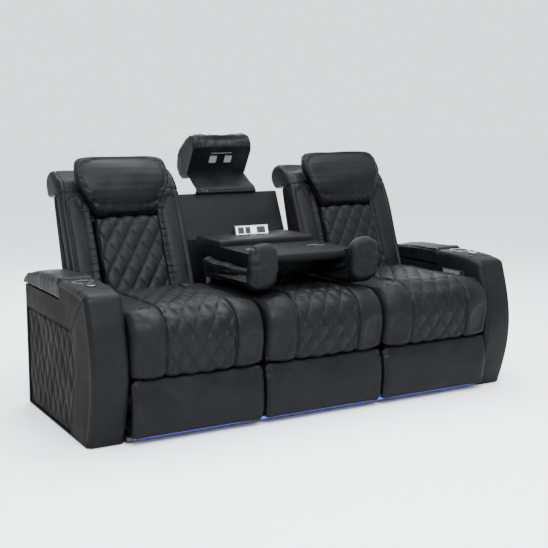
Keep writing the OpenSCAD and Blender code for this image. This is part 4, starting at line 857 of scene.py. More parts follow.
# %% Headrests
HEAD_FOOT_S, HEAD_H, HEAD_HALF, HEAD_T, HEAD_Y = 438, 284, 225, 84, -18
HEAD_LEVELS = (0, 0.05, 0.13, 0.24, 0.36, 0.5, 0.64, 0.76, 0.86, 0.93, 0.975, 1)
HEAD_WIDE_SHARES = (0.60, 0.68, 0.73, 0.80, 0.88, 0.96, 1.0, 1.0, 0.98, 0.94, 0.86, 0.70)
HEAD_FRONT_SHARES = (0.06, 0.40, 0.66, 0.86, 0.98, 1.02, 1.0, 0.93, 0.80, 0.62, 0.42, 0.16)
HEAD_REAR_SHARES = (0.06, 0.24, 0.24, 0.08, 0.0, 0.0, 0.0, 0.0, -0.01, -0.04, -0.09, -0.16)
HEAD_POINTS = 56
HEAD_SEAM = 0.9
HEAD_PUFF = (3.0, 12 * MM)


def bent(values, power):
    return np.sign(values) * np.abs(values) ** power


def head_rings():
    levels = np.linspace(0, 1, 25)
    levels = np.concatenate([[0, 0.02], levels[1:-1], [0.985, 1]])
    tables = HEAD_WIDE_SHARES, HEAD_FRONT_SHARES, HEAD_REAR_SHARES
    wide, front, rear = (np.interp(levels, HEAD_LEVELS, shares) for shares in tables)
    turn = np.linspace(0, math.tau, HEAD_POINTS, endpoint=False)
    low, high = HEAD_Y - 4 - HEAD_T * front, HEAD_Y + HEAD_T * rear
    rings = np.empty((len(levels), HEAD_POINTS, 3))
    rings[..., 0] = (HEAD_HALF * wide)[:, None] * bent(np.cos(turn), 0.5)[None]
    rings[..., 1] = ((low + high) / 2)[:, None] + ((high - low) / 2)[:, None] * bent(np.sin(turn), 0.62)[None]
    rings[..., 2] = (HEAD_FOOT_S + HEAD_H * levels)[:, None]
    rings = rings * MM
    rings[..., 1] += FRONT_Y
    facing = fade(-np.sin(turn), -0.2, 0.15)[None] * np.ones((len(levels), 1))
    freedom = facing * (fade(levels, 0.02, 0.12) * (1 - fade(levels, 0.93, 1.0)))[:, None]
    seam = np.abs(np.abs(np.cos(turn)) - HEAD_SEAM) < 0.05
    freedom[:, seam] *= 0.1
    return puff(rings, freedom, *HEAD_PUFF), levels


head_form, head_levels = head_rings()


def head_detail(rings, levels, seed):
    rings = refine(refine(rings))
    levels = doubled(doubled(levels))
    turn = np.linspace(0, math.tau, 4 * HEAD_POINTS, endpoint=False)
    L, T = spread(rings, levels, turn)
    front = fade(-np.sin(T), -0.3, 0.1)
    gap = (np.abs(np.cos(T)) - HEAD_SEAM) * 0.22
    ends = fade(L, 0.0, 0.06) * (1 - fade(L, 0.95, 1.0))
    lift = groove(gap, 4.5 * MM, 5 * MM) * front * ends
    pleats = waves(L * HEAD_H * MM, 0 * L, 26 * MM, seed) * np.exp(-np.abs(gap) / (14 * MM))
    lift = lift + 2.0 * MM * pleats * front * ends
    foot = (1 - fade(L, 0.05, 0.3)) * front
    lift = lift + 2.6 * MM * foot * waves(rings[..., 0], 0 * L, 42 * MM, seed + 1) * ends
    lift = lift + 2.0 * MM * waves(rings[..., 0], L * HEAD_H * MM, 190 * MM, seed + 2) * ends
    return lifted(rings, lift)


for side, sx in SIDES:
    rings, x, run = wing_detail(*wing_form, 51 + 9 * sx)
    rings = at_seat(lean_back(rings), sx)
    dress(ringed(side + "_back_bolsters", rings, hide, (x, run)), side + "_back", side + "_back_wings")
    rings, x, run = sew(*lumbar_form, (), 71 + 3 * sx, LUMBAR_HALF)
    rings = at_seat(lean_back(rings), sx)
    dress(ringed(side + "_lumbar_leather", rings, quilted, (x, run)), side + "_back", side + "_lumbar_pad")
    rings = at_seat(lean_back(head_detail(head_form, head_levels, 91 + 5 * sx)), sx)
    head = ringed(side + "_headrest_leather", rings, hide)
    dress(head, side + "_headrest", side + "_headrest_pad", fill=0.8)
print("backs: %d points on a bolster ring" % rings.shape[1])

# %% [markdown]
# Arms. The timber box is wrapped in plain leather. On its outer side a quilted panel fills the curve behind
# the plain front band, and a padded lid closes the storage well at the rear. The panel is a sheet of points
# pushed out into tall diamonds, with a back and edges so that it is a closed piece.

# %% Arm panels and lids
ARM_H, ARM_BOW, BAND, QUILT_TOP, QUILT_FOOT, ARM_REAR, BAND_IN = 612, 70, 202, 450, 12, 762, 7
ARM_RISE = 6 * MM


def arm_front(z):
    return -ARM_BOW * np.sin(math.pi * z / ARM_H)


def arm_panel(sx, seed):
    """Rings stacked upwards: across the quilted face, then back along a flat rear."""
    z = np.linspace(QUILT_FOOT + 0.4, QUILT_TOP - 0.4, 110)
    along = np.linspace(0, 1, 140)
    Z, U = np.meshgrid(z, along, indexing="ij")
    y0 = BAND + arm_front(Z) + 0.4
    Y = y0 + (ARM_REAR - 0.4 - y0) * U
    rim = np.minimum.reduce([Z - QUILT_FOOT, QUILT_TOP - Z, Y - y0 + 0.4, ARM_REAR - Y])
    inside = fade(rim, 1, 12)
    lift = (diamonds(Y * MM, (Z - QUILT_TOP) * MM, ARM_DIAMOND, ARM_RISE) - 0.3 * ARM_RISE) * inside
    lift = lift + 3 * MM * np.sin(math.pi * U) * inside - 4 * MM * (1 - fade(rim, 0, 6))
    lift = lift + 1.2 * MM * waves(Y * MM, Z * MM, 120 * MM, seed) * inside
    face = np.stack([(ARM_OUT - BAND_IN * MM + lift), Y * MM + FRONT_Y, Z * MM], -1)
    rear = face[:, ::-10].copy()
    rear[..., 0] = ARM_OUT - 15 * MM
    rings = np.concatenate([face, rear], axis=1)
    rings[..., 0] *= sx
    return rings


LID_Z, LID_H, LID_FRONT, LID_BACK = 553, 96, 306, 806
LID_LEVELS = (0, 0.02, 0.05, 0.1, 0.22, 0.45, 0.66, 0.8, 0.9, 0.96, 0.985, 1)
LID_TOP_SHARES = (0.70, 0.88, 0.97, 1.0, 1.0, 0.97, 0.88, 0.76, 0.62, 0.44, 0.3, 0.12)
LID_HALF, LID_SEAM = 79.5, 0.35
LID_PUFF = (2.5, 9 * MM)


def lid_rings():
    levels = np.concatenate([[0, 0.006, 0.02], np.linspace(0.045, 0.97, 30), [0.985, 1]])
    top = np.interp(levels, LID_LEVELS, LID_TOP_SHARES) * LID_H
    turn = np.linspace(-math.pi / 2, math.pi * 1.5, 48, endpoint=False)
    rings = np.empty((len(levels), 48, 3))
    rings[..., 0] = LID_HALF * bent(np.cos(turn), 0.34)[None]
    rings[..., 1] = (LID_FRONT + (LID_BACK - LID_FRONT) * levels)[:, None]
    upright = np.where(np.sin(turn) > 0, bent(np.sin(turn), 0.5), bent(np.sin(turn), 0.2))
    rings[..., 2] = LID_Z + (top / 2)[:, None] * (1 + upright[None])
    rings = rings * MM
    rings[..., 1] += FRONT_Y
    freedom = fade(np.sin(turn), 0.0, 0.7)[None] * np.ones((len(levels), 1))
    freedom[:3] = freedom[-3:] = 0
    return puff(rings, freedom, *LID_PUFF)


lid_form = lid_rings()


def lid_detail(rings, seed):
    rings = refine(refine(rings))
    turn = np.linspace(-math.pi / 2, math.pi * 1.5, rings.shape[1], endpoint=False)
    T = np.broadcast_to(turn[None], rings.shape[:2])
    Y, X = rings[..., 1], rings[..., 0]
    gap = (np.sin(T) - LID_SEAM) * 45 * MM
    side = (np.abs(np.cos(T)) > 0.2).astype(float)
    lift = groove(gap, 3 * MM, 4 * MM) * side
    lift = lift + 1.0 * MM * np.exp(-np.abs(gap) / (18 * MM)) * waves(Y, 0 * Y, 44 * MM, seed) * side
    lift = lift + 1.6 * MM * waves(X, Y, 150 * MM, seed + 1) * fade(np.sin(T), 0, 0.5)
    lift[:4] = lift[-4:] = 0
    return lifted(rings, lift)


for side, sx in SIDES:
    panel = ringed(side + "_arm_quilting", arm_panel(sx, 17 + sx), outer_quilted)
    places = np.array([v.co for v in panel.data.vertices])
    lay_out(panel.data, places[:, 1:] - (FRONT_Y, QUILT_TOP * MM))
    dress(panel, "sofa_frame", side + "_arm_quilt", slot="outer_leather")
    rings = lid_detail(lid_form, 23 + sx)
    rings[..., 0] += sx * ARM_MID
    dress(ringed(side + "_lid_leather", rings, hide), side + "_lid", side + "_storage_lid", fill=0.8)

# %% [markdown]
# The folded console. Its bolsters are the middle back's own wings seen from above, with the rolled top
# standing up at the front. Under the table hangs the lumbar cushion, and on it lies a padded shelf with the
# outlet pod.

# %% Console bolsters and cushion
WING_IN, RUN_Z, RUN_TOP, CAP_TOP = 165, 555, 648, 762
WING_FACE = [
    (540, 642), (520, RUN_TOP), (330, RUN_TOP), (150, RUN_TOP), (90, 652), (66, 672), (62, 706), (60, 738),
    (46, 758), (32, CAP_TOP + 2), (17, 757), (5, 738), (1, 706), (-1, 668), (2, 628), (10, 592), (32, 566),
    (70, 556), (140, RUN_Z), (330, RUN_Z), (500, RUN_Z), (534, 560),
]
FLARE, TAPER, BARREL, CAP_MID = 30 * MM, 24 * MM, 0.2, 664 * MM
WING_PUFF = (2.5, 8 * MM)
PILLOW = ((0.012, 29), (0.004, 27), (0, 23), (0.02, 15), (0.07, 8), (0.14, 3.6), (0.24, 1), (0.37, 0))


def console_wing():
    loop, run = even(smooth(WING_FACE, closed=True), 110, closed=True)
    loop = loop * MM
    share = np.array([s for s, _ in PILLOW] + [0.5] + [1 - s for s, _ in PILLOW[::-1]])
    edge = np.array([d for _, d in PILLOW] + [0] + [d for _, d in PILLOW[::-1]])[:, None] * MM
    width = SEAT_W / 2 - WING_IN * MM
    x = WING_IN * MM + width * share
    cap = 1 - fade(loop[:, 0], 30 * MM, 130 * MM)
    rings = swept(loop, x, (4 * MM * np.sin(math.pi * share)[:, None] - edge) * np.ones(len(loop)))
    out = fade(x, WING_IN * MM + 0.3 * width, SEAT_W / 2)[:, None]
    rings[..., 0] += (FLARE * out + TAPER * (1 - out)) * cap[None]
    corner = np.abs(2 * share - 1)[:, None] ** 3 * cap[None]
    rings[..., 2] = CAP_MID + (rings[..., 2] - CAP_MID) * (1 - BARREL * corner)
    freedom = np.ones(rings.shape[:2]) * np.sin(math.pi * share)[:, None] ** 0.5
    freedom[:3] = freedom[-3:] = 0
    return puff(rings, freedom, *WING_PUFF), run * MM, cap


console_form, console_run, console_cap = console_wing()
CAP_SEAM = 0.68


def console_detail(rings, seed):
    rings = refine(refine(rings))
    width = rings[-1, :, 0].max() - rings[0, :, 0].min()
    share = np.linspace(0, 1, rings.shape[0])[:, None]
    cap = wrap_doubled(wrap_doubled(console_cap))[None]
    run = wrap_doubled(wrap_doubled(console_run))[None]
    S, U = (np.broadcast_to(values, rings.shape[:2]) for values in (run, share))
    gap = (U - CAP_SEAM) * width
    lift = groove(gap, 4 * MM, 5 * MM) * cap
    lift = lift + 3.0 * MM * np.exp(-np.abs(gap) / (18 * MM)) * waves(S, 0 * S, 30 * MM, seed) * cap
    lift = lift + 2.2 * MM * waves(S, U * width, 90 * MM, seed + 1)
    return lifted(rings, lift)


for side, sx in SIDES:
    rings = console_detail(console_form, 41 + sx)
    rings[..., 0] *= sx
    bolster = ringed(side + "_console_bolster", rings, hide)
    nodes = ("console_wings",) if sx > 0 else ()
    dress(bolster, "console", *nodes, fill=0.7)
    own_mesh(bolster)

# %% [markdown]
# The back's quilted cushion hangs upside down under the table once the console is folded. It is the same
# quilted pad as an end seat's, drawn in the folded place.

# %% Console cushion
FOLDED_FACE = [(530, 640), (528, 590), (505, 571), (400, 568), (300, 571), (278, 590), (272, 640)]
FOLDED_REAR = [(275, 664), (400, 667), (525, 664)]
rings, x, run = sew(*quilted_pad(FOLDED_FACE, FOLDED_REAR, 2 * MM), (), 77, LUMBAR_HALF)
dress(ringed("console_quilting", rings, quilted, (x, run)), "console", "console_cushion")

# %% [markdown]
# Some pieces need crisp holes: the shelf's well for the outlets, and the arms' cups and storage. A Boolean
# modifier cuts them exactly, and its result becomes the piece's own mesh.


# %% Carving
SHARP = math.radians(38)


def block(low, high):
    """A plain box mesh between two corners in millimetres, only ever used to cut with."""
    corners = place([[(low, high)[i >> k & 1][k] for k in range(3)] for i in range(8)])
    faces = [(0, 2, 3, 1), (4, 5, 7, 6), (0, 1, 5, 4), (2, 6, 7, 3), (0, 4, 6, 2), (1, 3, 7, 5)]
    return corners, faces


def round_hole(x, y, low, high, radius, count=72):
    """A round cutter standing on the deck."""
    turn = np.linspace(0, math.tau, count, endpoint=False)
    ring = np.stack([x + radius * np.cos(turn), y + radius * np.sin(turn), 0 * turn], 1)
    points = place(np.vstack([ring + (0, 0, low), ring + (0, 0, high)]))
    walls = [(j, (j + 1) % count, count + (j + 1) % count, count + j) for j in range(count)]
    return points, [tuple(range(count))[::-1], tuple(range(count, 2 * count)), *walls]


def carve(piece, cutters):
    """Cuts each cutter's volume out of a piece, and keeps only its real corners sharp."""
    for points, faces in cutters:
        mesh = bpy.data.meshes.new("cutter")
        mesh.from_pydata(np.asarray(points).tolist(), [], faces)
        cutter = bpy.data.objects.new("cutter", mesh)
        bpy.context.scene.collection.objects.link(cutter)
        cut = piece.modifiers.new("cut", "BOOLEAN")
        cut.operation, cut.solver, cut.object = "DIFFERENCE", "EXACT", cutter
        apply_modifiers(piece)
        bpy.data.objects.remove(cutter)
    piece.data.polygons.foreach_set("use_smooth", [True] * len(piece.data.polygons))
    piece.data.set_sharp_from_angle(angle=SHARP)
    return piece


# %% [markdown]
# A padded shelf lies on the rear of the table, with a well that the outlet pod turns down into. It is a
# height field: every point of its top is lowered by its distance from the nearest side.

# %% Console shelf
SHELF_HALF, SHELF_FRONT, SHELF_REAR, SHELF_LOW, SHELF_TOP = 252, 446, 696, 706.6, 737
WELL_HALF, WELL_FRONT, WELL_REAR = 93.7, 577.4, 649.7
SHELF_R, SHELF_SEED = 15, 5


def shelf_rings():
    near = SHELF_R * np.array([0, 0.05, *EDGE_STEPS[2:]])
    x = stations(SHELF_HALF * MM, 100 * MM, SHELF_R * MM, 9 * MM) / MM
    middle = np.linspace(SHELF_FRONT + SHELF_R, SHELF_REAR - SHELF_R, 30)[1:-1]
    y = np.concatenate([SHELF_FRONT + near, middle, SHELF_REAR - near[::-1]])
    X, Y = np.meshgrid(x, y, indexing="ij")
    rim = np.minimum.reduce([SHELF_HALF - np.abs(X), Y - SHELF_FRONT, SHELF_REAR - Y])
    top = SHELF_TOP - 3 - 1.0 * step_in(rim, SHELF_R) + 3 * fade(rim, 10, 60)
    top += 0.8 * waves(X * MM, Y * MM, 150 * MM, SHELF_SEED) * fade(rim, 0, 20)
    top += groove(rim - 22, 1.6, 2.4)
    face = np.stack([X, Y, top], -1)
    base = np.stack([X, Y, np.full_like(X, SHELF_LOW)], -1)[:, ::-1]
    return place(np.concatenate([face, base], axis=1))


shelf = ringed("console_shelf_leather", shelf_rings(), hide)
carve(shelf, [block((-WELL_HALF, WELL_FRONT, 700), (WELL_HALF, WELL_REAR, 745))])
dress(shelf, "console", "console_shelf", fill=0.9)
print("shelf:", len(shelf.data.vertices), "vertices")

# %% [markdown]
# The middle headrest is folded up and back, so that its flat mounting face looks forward and its stuffed
# face looks to the rear. Its rings are stacked across, each a little smaller towards the sides, and the
# hide is gathered in the band over its face.

# %% Middle headrest
MOUNT_TOP, MOUNT_FOOT = (904, 1143), (985, 1010)
FLIP_FACE = [
    (1000, 986), (1045, 973), (1088, 974), (1124, 998), (1146, 1032), (1138, 1073), (1108, 1120),
    (1067, 1157), (1018, 1188), (968, 1209), (930, 1200), (908, 1172), MOUNT_TOP,
]
FLIP_REAR = [(914, 1126), (944, 1077), (974, 1028), (990, 1002)]
FLIP_HALF, FLIP_SEAM = 164 * MM, 0.88
FLIP_PUFF = (3.0, 9 * MM)
FLIP_ACROSS, FLIP_SCALE = (0, 0.45, 0.84, 0.93, 0.975, 1), (1, 1, 0.985, 0.945, 0.88, 0.76)


def flip_rings(seed):
    loop, run = side_loop(FLIP_FACE, FLIP_REAR, 78, 22)
    x = stations(FLIP_HALF, 100 * MM, 24 * MM)
    middle = np.array([(a + b) / 2 for a, b in zip(MOUNT_TOP, MOUNT_FOOT)]) * MM
    scale = np.interp(np.abs(x) / FLIP_HALF, FLIP_ACROSS, FLIP_SCALE)[:, None, None]
    soft = on_face(loop, fade(run, 0, 40 * MM) * (1 - fade(run, run[-1] - 40 * MM, run[-1])))
    rings = swept(loop, x, np.zeros((len(x), len(loop))))
    centre = middle + (FRONT_Y, 0)
    rings[..., 1:] = centre + (rings[..., 1:] - centre) * scale
    freedom = soft[None] * (1 - np.abs(x / FLIP_HALF) ** 6)[:, None]
    freedom[[0, 1, -2, -1]] = 0
    rings = puff(rings, freedom, *FLIP_PUFF)
    full = full_run(loop, run)
    rings, x, run, soft = finer(rings, x, full, soft)
    X, S = spread(rings, x, run)
    end = full.max()
    brow = fade(S, 0.72 * end, 0.8 * end) * (1 - fade(S, 0.95 * end, 0.99 * end))
    lift = 2.4 * MM * waves(X, 0.25 * S, 30 * MM, seed) * brow * (0.35 + 0.65 * fade(-X, 20 * MM, 120 * MM))
    gap = np.abs(X) - FLIP_SEAM * FLIP_HALF
    lift = lift + groove(gap, 4 * MM, 4.5 * MM) * soft[None]
    near = np.exp(-np.abs(gap) / (16 * MM))
    lift = lift + 2.0 * MM * near * waves(S, 0 * S, 28 * MM, seed + 1) * soft[None]
    lift = lift + 1.8 * MM * waves(X, S, 200 * MM, seed + 2) * soft[None]
    return lifted(rings, lift)


dress(ringed("centre_headrest_leather", flip_rings(61), hide), "flip_headrest", "centre_headrest", fill=0.8)

MOUNT_RUN = math.dist(MOUNT_TOP, MOUNT_FOOT)
MOUNT_DOWN = tuple((b - a) / MOUNT_RUN for a, b in zip(MOUNT_TOP, MOUNT_FOOT))


def on_mount(points):
    """Points of the mounting face (across, down the face, out of it) in millimetres, placed in the frame."""
    p = np.asarray(points, float)
    out = np.empty_like(p)
    out[..., 0] = p[..., 0]
    out[..., 1] = MOUNT_TOP[0] + p[..., 1] * MOUNT_DOWN[0] + p[..., 2] * MOUNT_DOWN[1]
    out[..., 2] = MOUNT_TOP[1] + p[..., 1] * MOUNT_DOWN[1] - p[..., 2] * MOUNT_DOWN[0]
    return place(out)


LAMP_X, LAMP_DOWN, LAMP_HALF = 42, 71.7, 19


def bezel(centre):
    """A raised square ring round one lamp: a small rounded profile carried along a rounded square."""
    turn = np.linspace(0, math.tau, 48, endpoint=False)
    square = np.stack([bent(np.cos(turn), 0.35), bent(np.sin(turn), 0.35)], 1)
    round_profile = np.linspace(0, math.tau, 10, endpoint=False)
    across = LAMP_HALF + 2.2 + 1.7 * np.cos(round_profile)
    height = 3.4 + 3.6 * np.sin(round_profile)
    rings = np.empty((len(turn), len(round_profile), 3))
    rings[..., 0] = centre + square[:, :1] * across[None]
    rings[..., 1] = LAMP_DOWN + square[:, 1:] * across[None]
    rings[..., 2] = height[None]
    return on_mount(rings)


def closed_band(name, rings, material):
    """A mesh round a closed row of closed rings."""
    n, m = rings.shape[:2]
    faces = [
        (i * m + j, i * m + (j + 1) % m, (i + 1) % n * m + (j + 1) % m, (i + 1) % n * m + j)
        for i in range(n) for j in range(m)
    ]
    made = add_object(name, rings, faces, material)
    band = bmesh.new()
    band.from_mesh(made.data)
    bmesh.ops.recalc_face_normals(band, faces=band.faces)
    band.to_mesh(made.data)
    band.free()
    return made


def tube(name, path, radius, material, sides=10):
    """A round cord along a path, with closed and tapered ends."""
    path = np.asarray(path, float)
    along = np.gradient(path, axis=0)
    along /= np.linalg.norm(along, axis=1, keepdims=True)
    side = np.cross(along, (0.0, 0.0, 1.0) if abs(along[:, 2]).mean() < 0.7 else (0.0, 1.0, 0.0))
    side /= np.linalg.norm(side, axis=1, keepdims=True)
    up = np.cross(side, along)
    turn = np.linspace(0, math.tau, sides, endpoint=False)
    size = np.full(len(path), radius)
    size[[0, -1]] *= 0.5
    rings = path[:, None] + size[:, None, None] * (
        np.cos(turn)[None, :, None] * side[:, None] + np.sin(turn)[None, :, None] * up[:, None]
    )
    return ringed(name, rings, material)


for side, sx in SIDES:
    frame_ring = closed_band(side + "_lamp_bezel", bezel(sx * LAMP_X), plastic)
    dress(frame_ring, "flip_headrest", slot="black_plastic", fill=None)
line = np.stack([np.linspace(-58, 60, 24), np.full(24, LAMP_DOWN - LAMP_HALF - 15), np.full(24, 0.4)], 1)
trim = tube("lamp_trim", on_mount(line), 1.4 * MM, zinc)
dress(trim, "flip_headrest", slot="polished_steel", fill=None)
print("middle headrest: mount face %.0f mm long" % MOUNT_RUN)

# %% [markdown]
# A flap of hide closes the gap between the rear panel and the folded headrest. Its front edge is rolled
# over a cord, and the cord stays with the sofa.

# %% Flap behind the console
FLAP_HALF = 166 * MM
FLAP_PATH = [(873.5, 928), (879, 937), (893, 947), (920, 961), (950, 980), (975, 996), (986, 1002)]
FLAP_START, FLAP_END = (0, 885, 942), (0, 980, 1000)
HIDE_T = 2.2 * MM
HEM_Y, HEM_Z, HEM_R = 872.5, 920.7, 7.4


def flap():
    path, run = even(smooth(FLAP_PATH), 30)
    x = np.linspace(-1, 1, 111)
    X, T = np.meshgrid(x, run / run[-1], indexing="ij")
    lift = 2.3 * waves(X * FLAP_HALF, 0.01 * T, 34 * MM, 3) * (1 - fade(X, -0.85, -0.35)) * (1 - 0.5 * T)
    lift = lift + 1.2 * waves(X, T, 0.7, 4)
    tangent = np.gradient(path, axis=0)
    tangent /= np.linalg.norm(tangent, axis=1, keepdims=True)
    points = np.empty((*X.shape, 3))
    points[..., 0] = X * FLAP_HALF / MM * (1 - 0.03 * T)
    points[..., 1] = path[None, :, 0] - tangent[None, :, 1] * lift
    points[..., 2] = path[None, :, 1] + tangent[None, :, 0] * lift
    made = sheet("headrest_flap", place(points), hide)
    thick = made.modifiers.new("thickness", "SOLIDIFY")
    thick.thickness, thick.offset = HIDE_T, 0
    apply_modifiers(made)
    return made, run[-1] * MM


def hem():
    x = np.linspace(-FLAP_HALF - 4 * MM, FLAP_HALF + 2 * MM, 121) / MM
    turn = np.linspace(0, math.tau, 20, endpoint=False)
    bump = 1 + 0.05 * waves(x * MM, 0 * x, 26 * MM, 8) * (1 - fade(x, -130, -40))
    bump = bump + 0.02 * waves(x * MM, 0 * x, 60 * MM, 9)
    bump[[0, -1]] = 0.75
    rings = np.empty((len(x), 20, 3))
    rings[..., 0] = x[:, None]
    rings[..., 1] = HEM_Y + HEM_R * bump[:, None] * np.cos(turn)
    rings[..., 2] = HEM_Z + HEM_R * bump[:, None] * np.sin(turn)
    return ringed("headrest_flap_hem", place(rings), hide)


flap_piece, flap_run = flap()
flap_hem = dress(hem(), "sofa_frame", fill=None)
tuple(place(FLAP_START))
tuple(place(FLAP_END))
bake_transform(flap_piece)
print("flap: %.0f by %.0f mm" % (2 * FLAP_HALF / MM, flap_run / MM))

# %% [markdown]
# Each arm is a timber box under a thick wrap of foam and leather, bowed at the front and softly rounded
# along its front and top edges. The wrap is one form of rings stacked across the arm. Its corners stay
# true, because the outline is sampled run by run, and then the cups, the storage, the switch panel and the
# quilting are cut out.

# %% Arm covers
ARM_HALF, ARM_EDGE_R, DECK_Z, DECK_END, LEDGE_Z, ARM_TAIL, ARM_LOW = 80, 24, 634, 303, 552.7, 778, 4
BROW = [
    (-13.2, 575), (-5, 598), (8, 611), (30, 617), (60, 622), (101, 628.5), (202, DECK_Z),
    (DECK_END - 0.4, DECK_Z),
]
BROW_Z = 611
SHAFT_HALF, SHAFT_FRONT, SHAFT_REAR, SHAFT_TOP = 64, 19.7, 762.3, 586
STORAGE_FRONT, STORAGE_FLOOR = 322, 12
PANEL_FRONT, PANEL_REAR, PANEL_FOOT, PANEL_TOP = 96.7, 264.3, 516.7, 553.3
CUP_Y, CUP_R, DOCK_Y, DOCK_R, HOLE_LOW, HOLE_HIGH = 230, 43.8, 135, 15.3, 570, 645
CORD_IN, CORD_R = 63.2, 1.5 * MM


def runs(points, step):
    """A polyline sampled run by run, so that its corners stay where they are."""
    out = []
    for a, b in zip(points, points[1:]):
        count = max(1, round(math.dist(a, b) / step))
        out += [tuple(np.array(a) + (np.array(b) - np.array(a)) * k / count) for k in range(count)]
    return out


def arm_loop():
    low = [(arm_front(z), z) for z in np.linspace(ARM_LOW, 568, 72)]
    deck, _ = even(smooth(BROW), 46)
    rest = [(DECK_END, DECK_Z - 0.4), (DECK_END, LEDGE_Z), (ARM_TAIL, LEDGE_Z), (ARM_TAIL, ARM_LOW)]
    rest = runs([*rest, (0.5, ARM_LOW)], 12)
    return np.array(low + [tuple(p) for p in deck] + rest), len(low) + len(deck)


def arm_rings(seed):
    loop, soft_count = arm_loop()
    half = ARM_HALF * MM
    x = stations(half, 40 * MM, ARM_EDGE_R * MM, 8 * MM)
    edge = step_in(half - np.abs(x), ARM_EDGE_R * MM)[:, None]
    soft = (np.arange(len(loop)) < soft_count).astype(float)
    full = soft * (1 - fade(loop[:, 0], 55, 100)) * fade(loop[:, 1], 20, 120)
    X, Z = np.meshgrid(x, loop[:, 1] * MM, indexing="ij")
    swell = 4 * MM * (1 - (x / half) ** 2)[:, None] * full[None] - edge * soft[None]
    swell = swell + 1.3 * MM * waves(X, Z, 170 * MM, seed) * full[None] * (1 - (x / half) ** 4)[:, None]
    rings = swept(loop * MM, x, swell)
    # The riser behind the deck and the underside end where the rounded edges leave them
    top = DECK_Z * MM - edge[:, 0] - 0.4 * MM
    riser = slice(soft_count, soft_count + 3)
    rings[:, riser, 2] = np.minimum(rings[:, riser, 2], top[:, None])
    under = np.arange(len(loop)) > len(loop) - 6
    rings[:, under, 1] = np.maximum(rings[:, under, 1], (rings[:, 0, 1] + 0.3 * MM)[:, None])
    return rings, soft_count


def recess(low_x, high_x, front, low_z, high_z, rear):
    """The cutter of the quilted panel's recess, whose front edge follows the bow."""
    z = np.linspace(low_z, high_z, 40)
    side = [(front + arm_front(level), level) for level in z] + [(rear, high_z), (rear, low_z)]
    n = len(side)
    points = place([(x, *p) for x in (low_x, high_x) for p in side])
    walls = [(n + j, n + (j + 1) % n, (j + 1) % n, j) for j in range(n)]
    return points, [tuple(range(n)), tuple(range(n, 2 * n))[::-1], *walls]


def sewn_on(piece, cords):
    """Joins raised seams to a piece, as part of the same hide."""
    whole = bmesh.new()
    whole.from_mesh(piece.data)
    for cord in cords:
        whole.from_mesh(cord.data)
        bpy.data.objects.remove(cord)
    whole.to_mesh(piece.data)
    whole.free()


def cover_centres(piece):
    """The middle of every face of a piece."""
    centres = np.empty(3 * len(piece.data.polygons))
    piece.data.polygons.foreach_get("center", centres)
    return centres.reshape(-1, 3)


SIDE_ARC = [(0, 611), (63, 557), (115, 508), (152, 456), (158, 452.6)]


def arm_cover(side, sx):
    rings, soft_count = arm_rings(13 + sx)
    rings[..., 0] += ARM_MID
    # Cords lie on the rings one edge radius in, along the brow, and down the outer side
    across = [int(np.argmin(np.abs(rings[:, 0, 0] - ARM_MID - gap * MM))) for gap in (-CORD_IN, CORD_IN)]
    paths = [rings[k, 1 : soft_count - 44] for k in across]
    brow = int(np.argmin(np.abs(rings[0, :soft_count, 2] - (BROW_Z - ARM_EDGE_R * 0.4) * MM)))
    paths.append(rings[1:-1, brow])
    arc, _ = even(smooth(SIDE_ARC), 30)
    arc = np.vstack([arc, [(y, SIDE_ARC[-1][1]) for y in np.linspace(170, 772, 60)]])
    paths.append(place(np.column_stack([np.full(len(arc), ARM_OUT / MM), arc])))
    cover = ringed(side + "_arm_leather", rings, hide)
    mid = ARM_MID / MM
    carve(cover, [
        block((mid - SHAFT_HALF, SHAFT_FRONT, -1), (mid + SHAFT_HALF, SHAFT_REAR, SHAFT_TOP)),
        block((mid - SHAFT_HALF, STORAGE_FRONT, STORAGE_FLOOR), (mid + SHAFT_HALF, SHAFT_REAR, DECK_Z + 6)),
        block((ARM_IN / MM - 5, PANEL_FRONT, PANEL_FOOT), (mid - SHAFT_HALF + 1, PANEL_REAR, PANEL_TOP)),
        round_hole(mid, CUP_Y, HOLE_LOW, HOLE_HIGH, CUP_R),
        round_hole(mid, DOCK_Y, HOLE_LOW, HOLE_HIGH, DOCK_R, 40),
        recess(mid + 64.6, mid + 90, BAND - 0.3, QUILT_FOOT - 0.3, QUILT_TOP + 0.3, SHAFT_REAR),
    ])
    sewn_on(cover, [tube("cord", path, CORD_R, hide, 8) for path in paths])
    cover.data.materials.append(outer)
    outside = cover_centres(cover)[:, 0] > ARM_OUT - 0.6 * MM
    cover.data.polygons.foreach_set("material_index", outside.astype(int))
    if sx < 0:
        mirror = bmesh.new()
        mirror.from_mesh(cover.data)
        bmesh.ops.scale(mirror, vec=(-1, 1, 1), verts=mirror.verts)
        bmesh.ops.reverse_faces(mirror, faces=mirror.faces)
        mirror.to_mesh(cover.data)
        mirror.free()
    away = np.abs(cover_centres(cover)[:, 0])
    flat = np.minimum(np.abs(away - ARM_IN), np.abs(away - ARM_OUT))
    cover.data.polygons.foreach_set("use_smooth", flat > 0.3 * MM)
    cover.data.set_sharp_from_angle(angle=SHARP)
    return cover


for side, sx in SIDES:
    cover = arm_cover(side, sx)
    dress(cover, "sofa_frame", side + "_arm_cover", fill=0.9)
    print(cover.name, len(cover.data.vertices), "vertices")

# %% [markdown]
# The rear of each back is a foam-padded cover on a board, drawn in the back's own frame. It has a pocket
# that the steel back frame stands in, so it is carved as the arms are.

# %% Back covers
COVER_SIDE = [
    (37, 40), (39, 26), (60, 24), (124, 24), (139, 30), (138, 50), (113.3, 270.6), (80, 548), (75, 563),
    (60, 568.5), (45, 570.5), (37, 565),
]
COVER_HALF, COVER_EDGE_R = 298, 16
POCKET_LOW, POCKET_HIGH = (-262.3, -20, 10), (262.3, 60.3, 548.3)


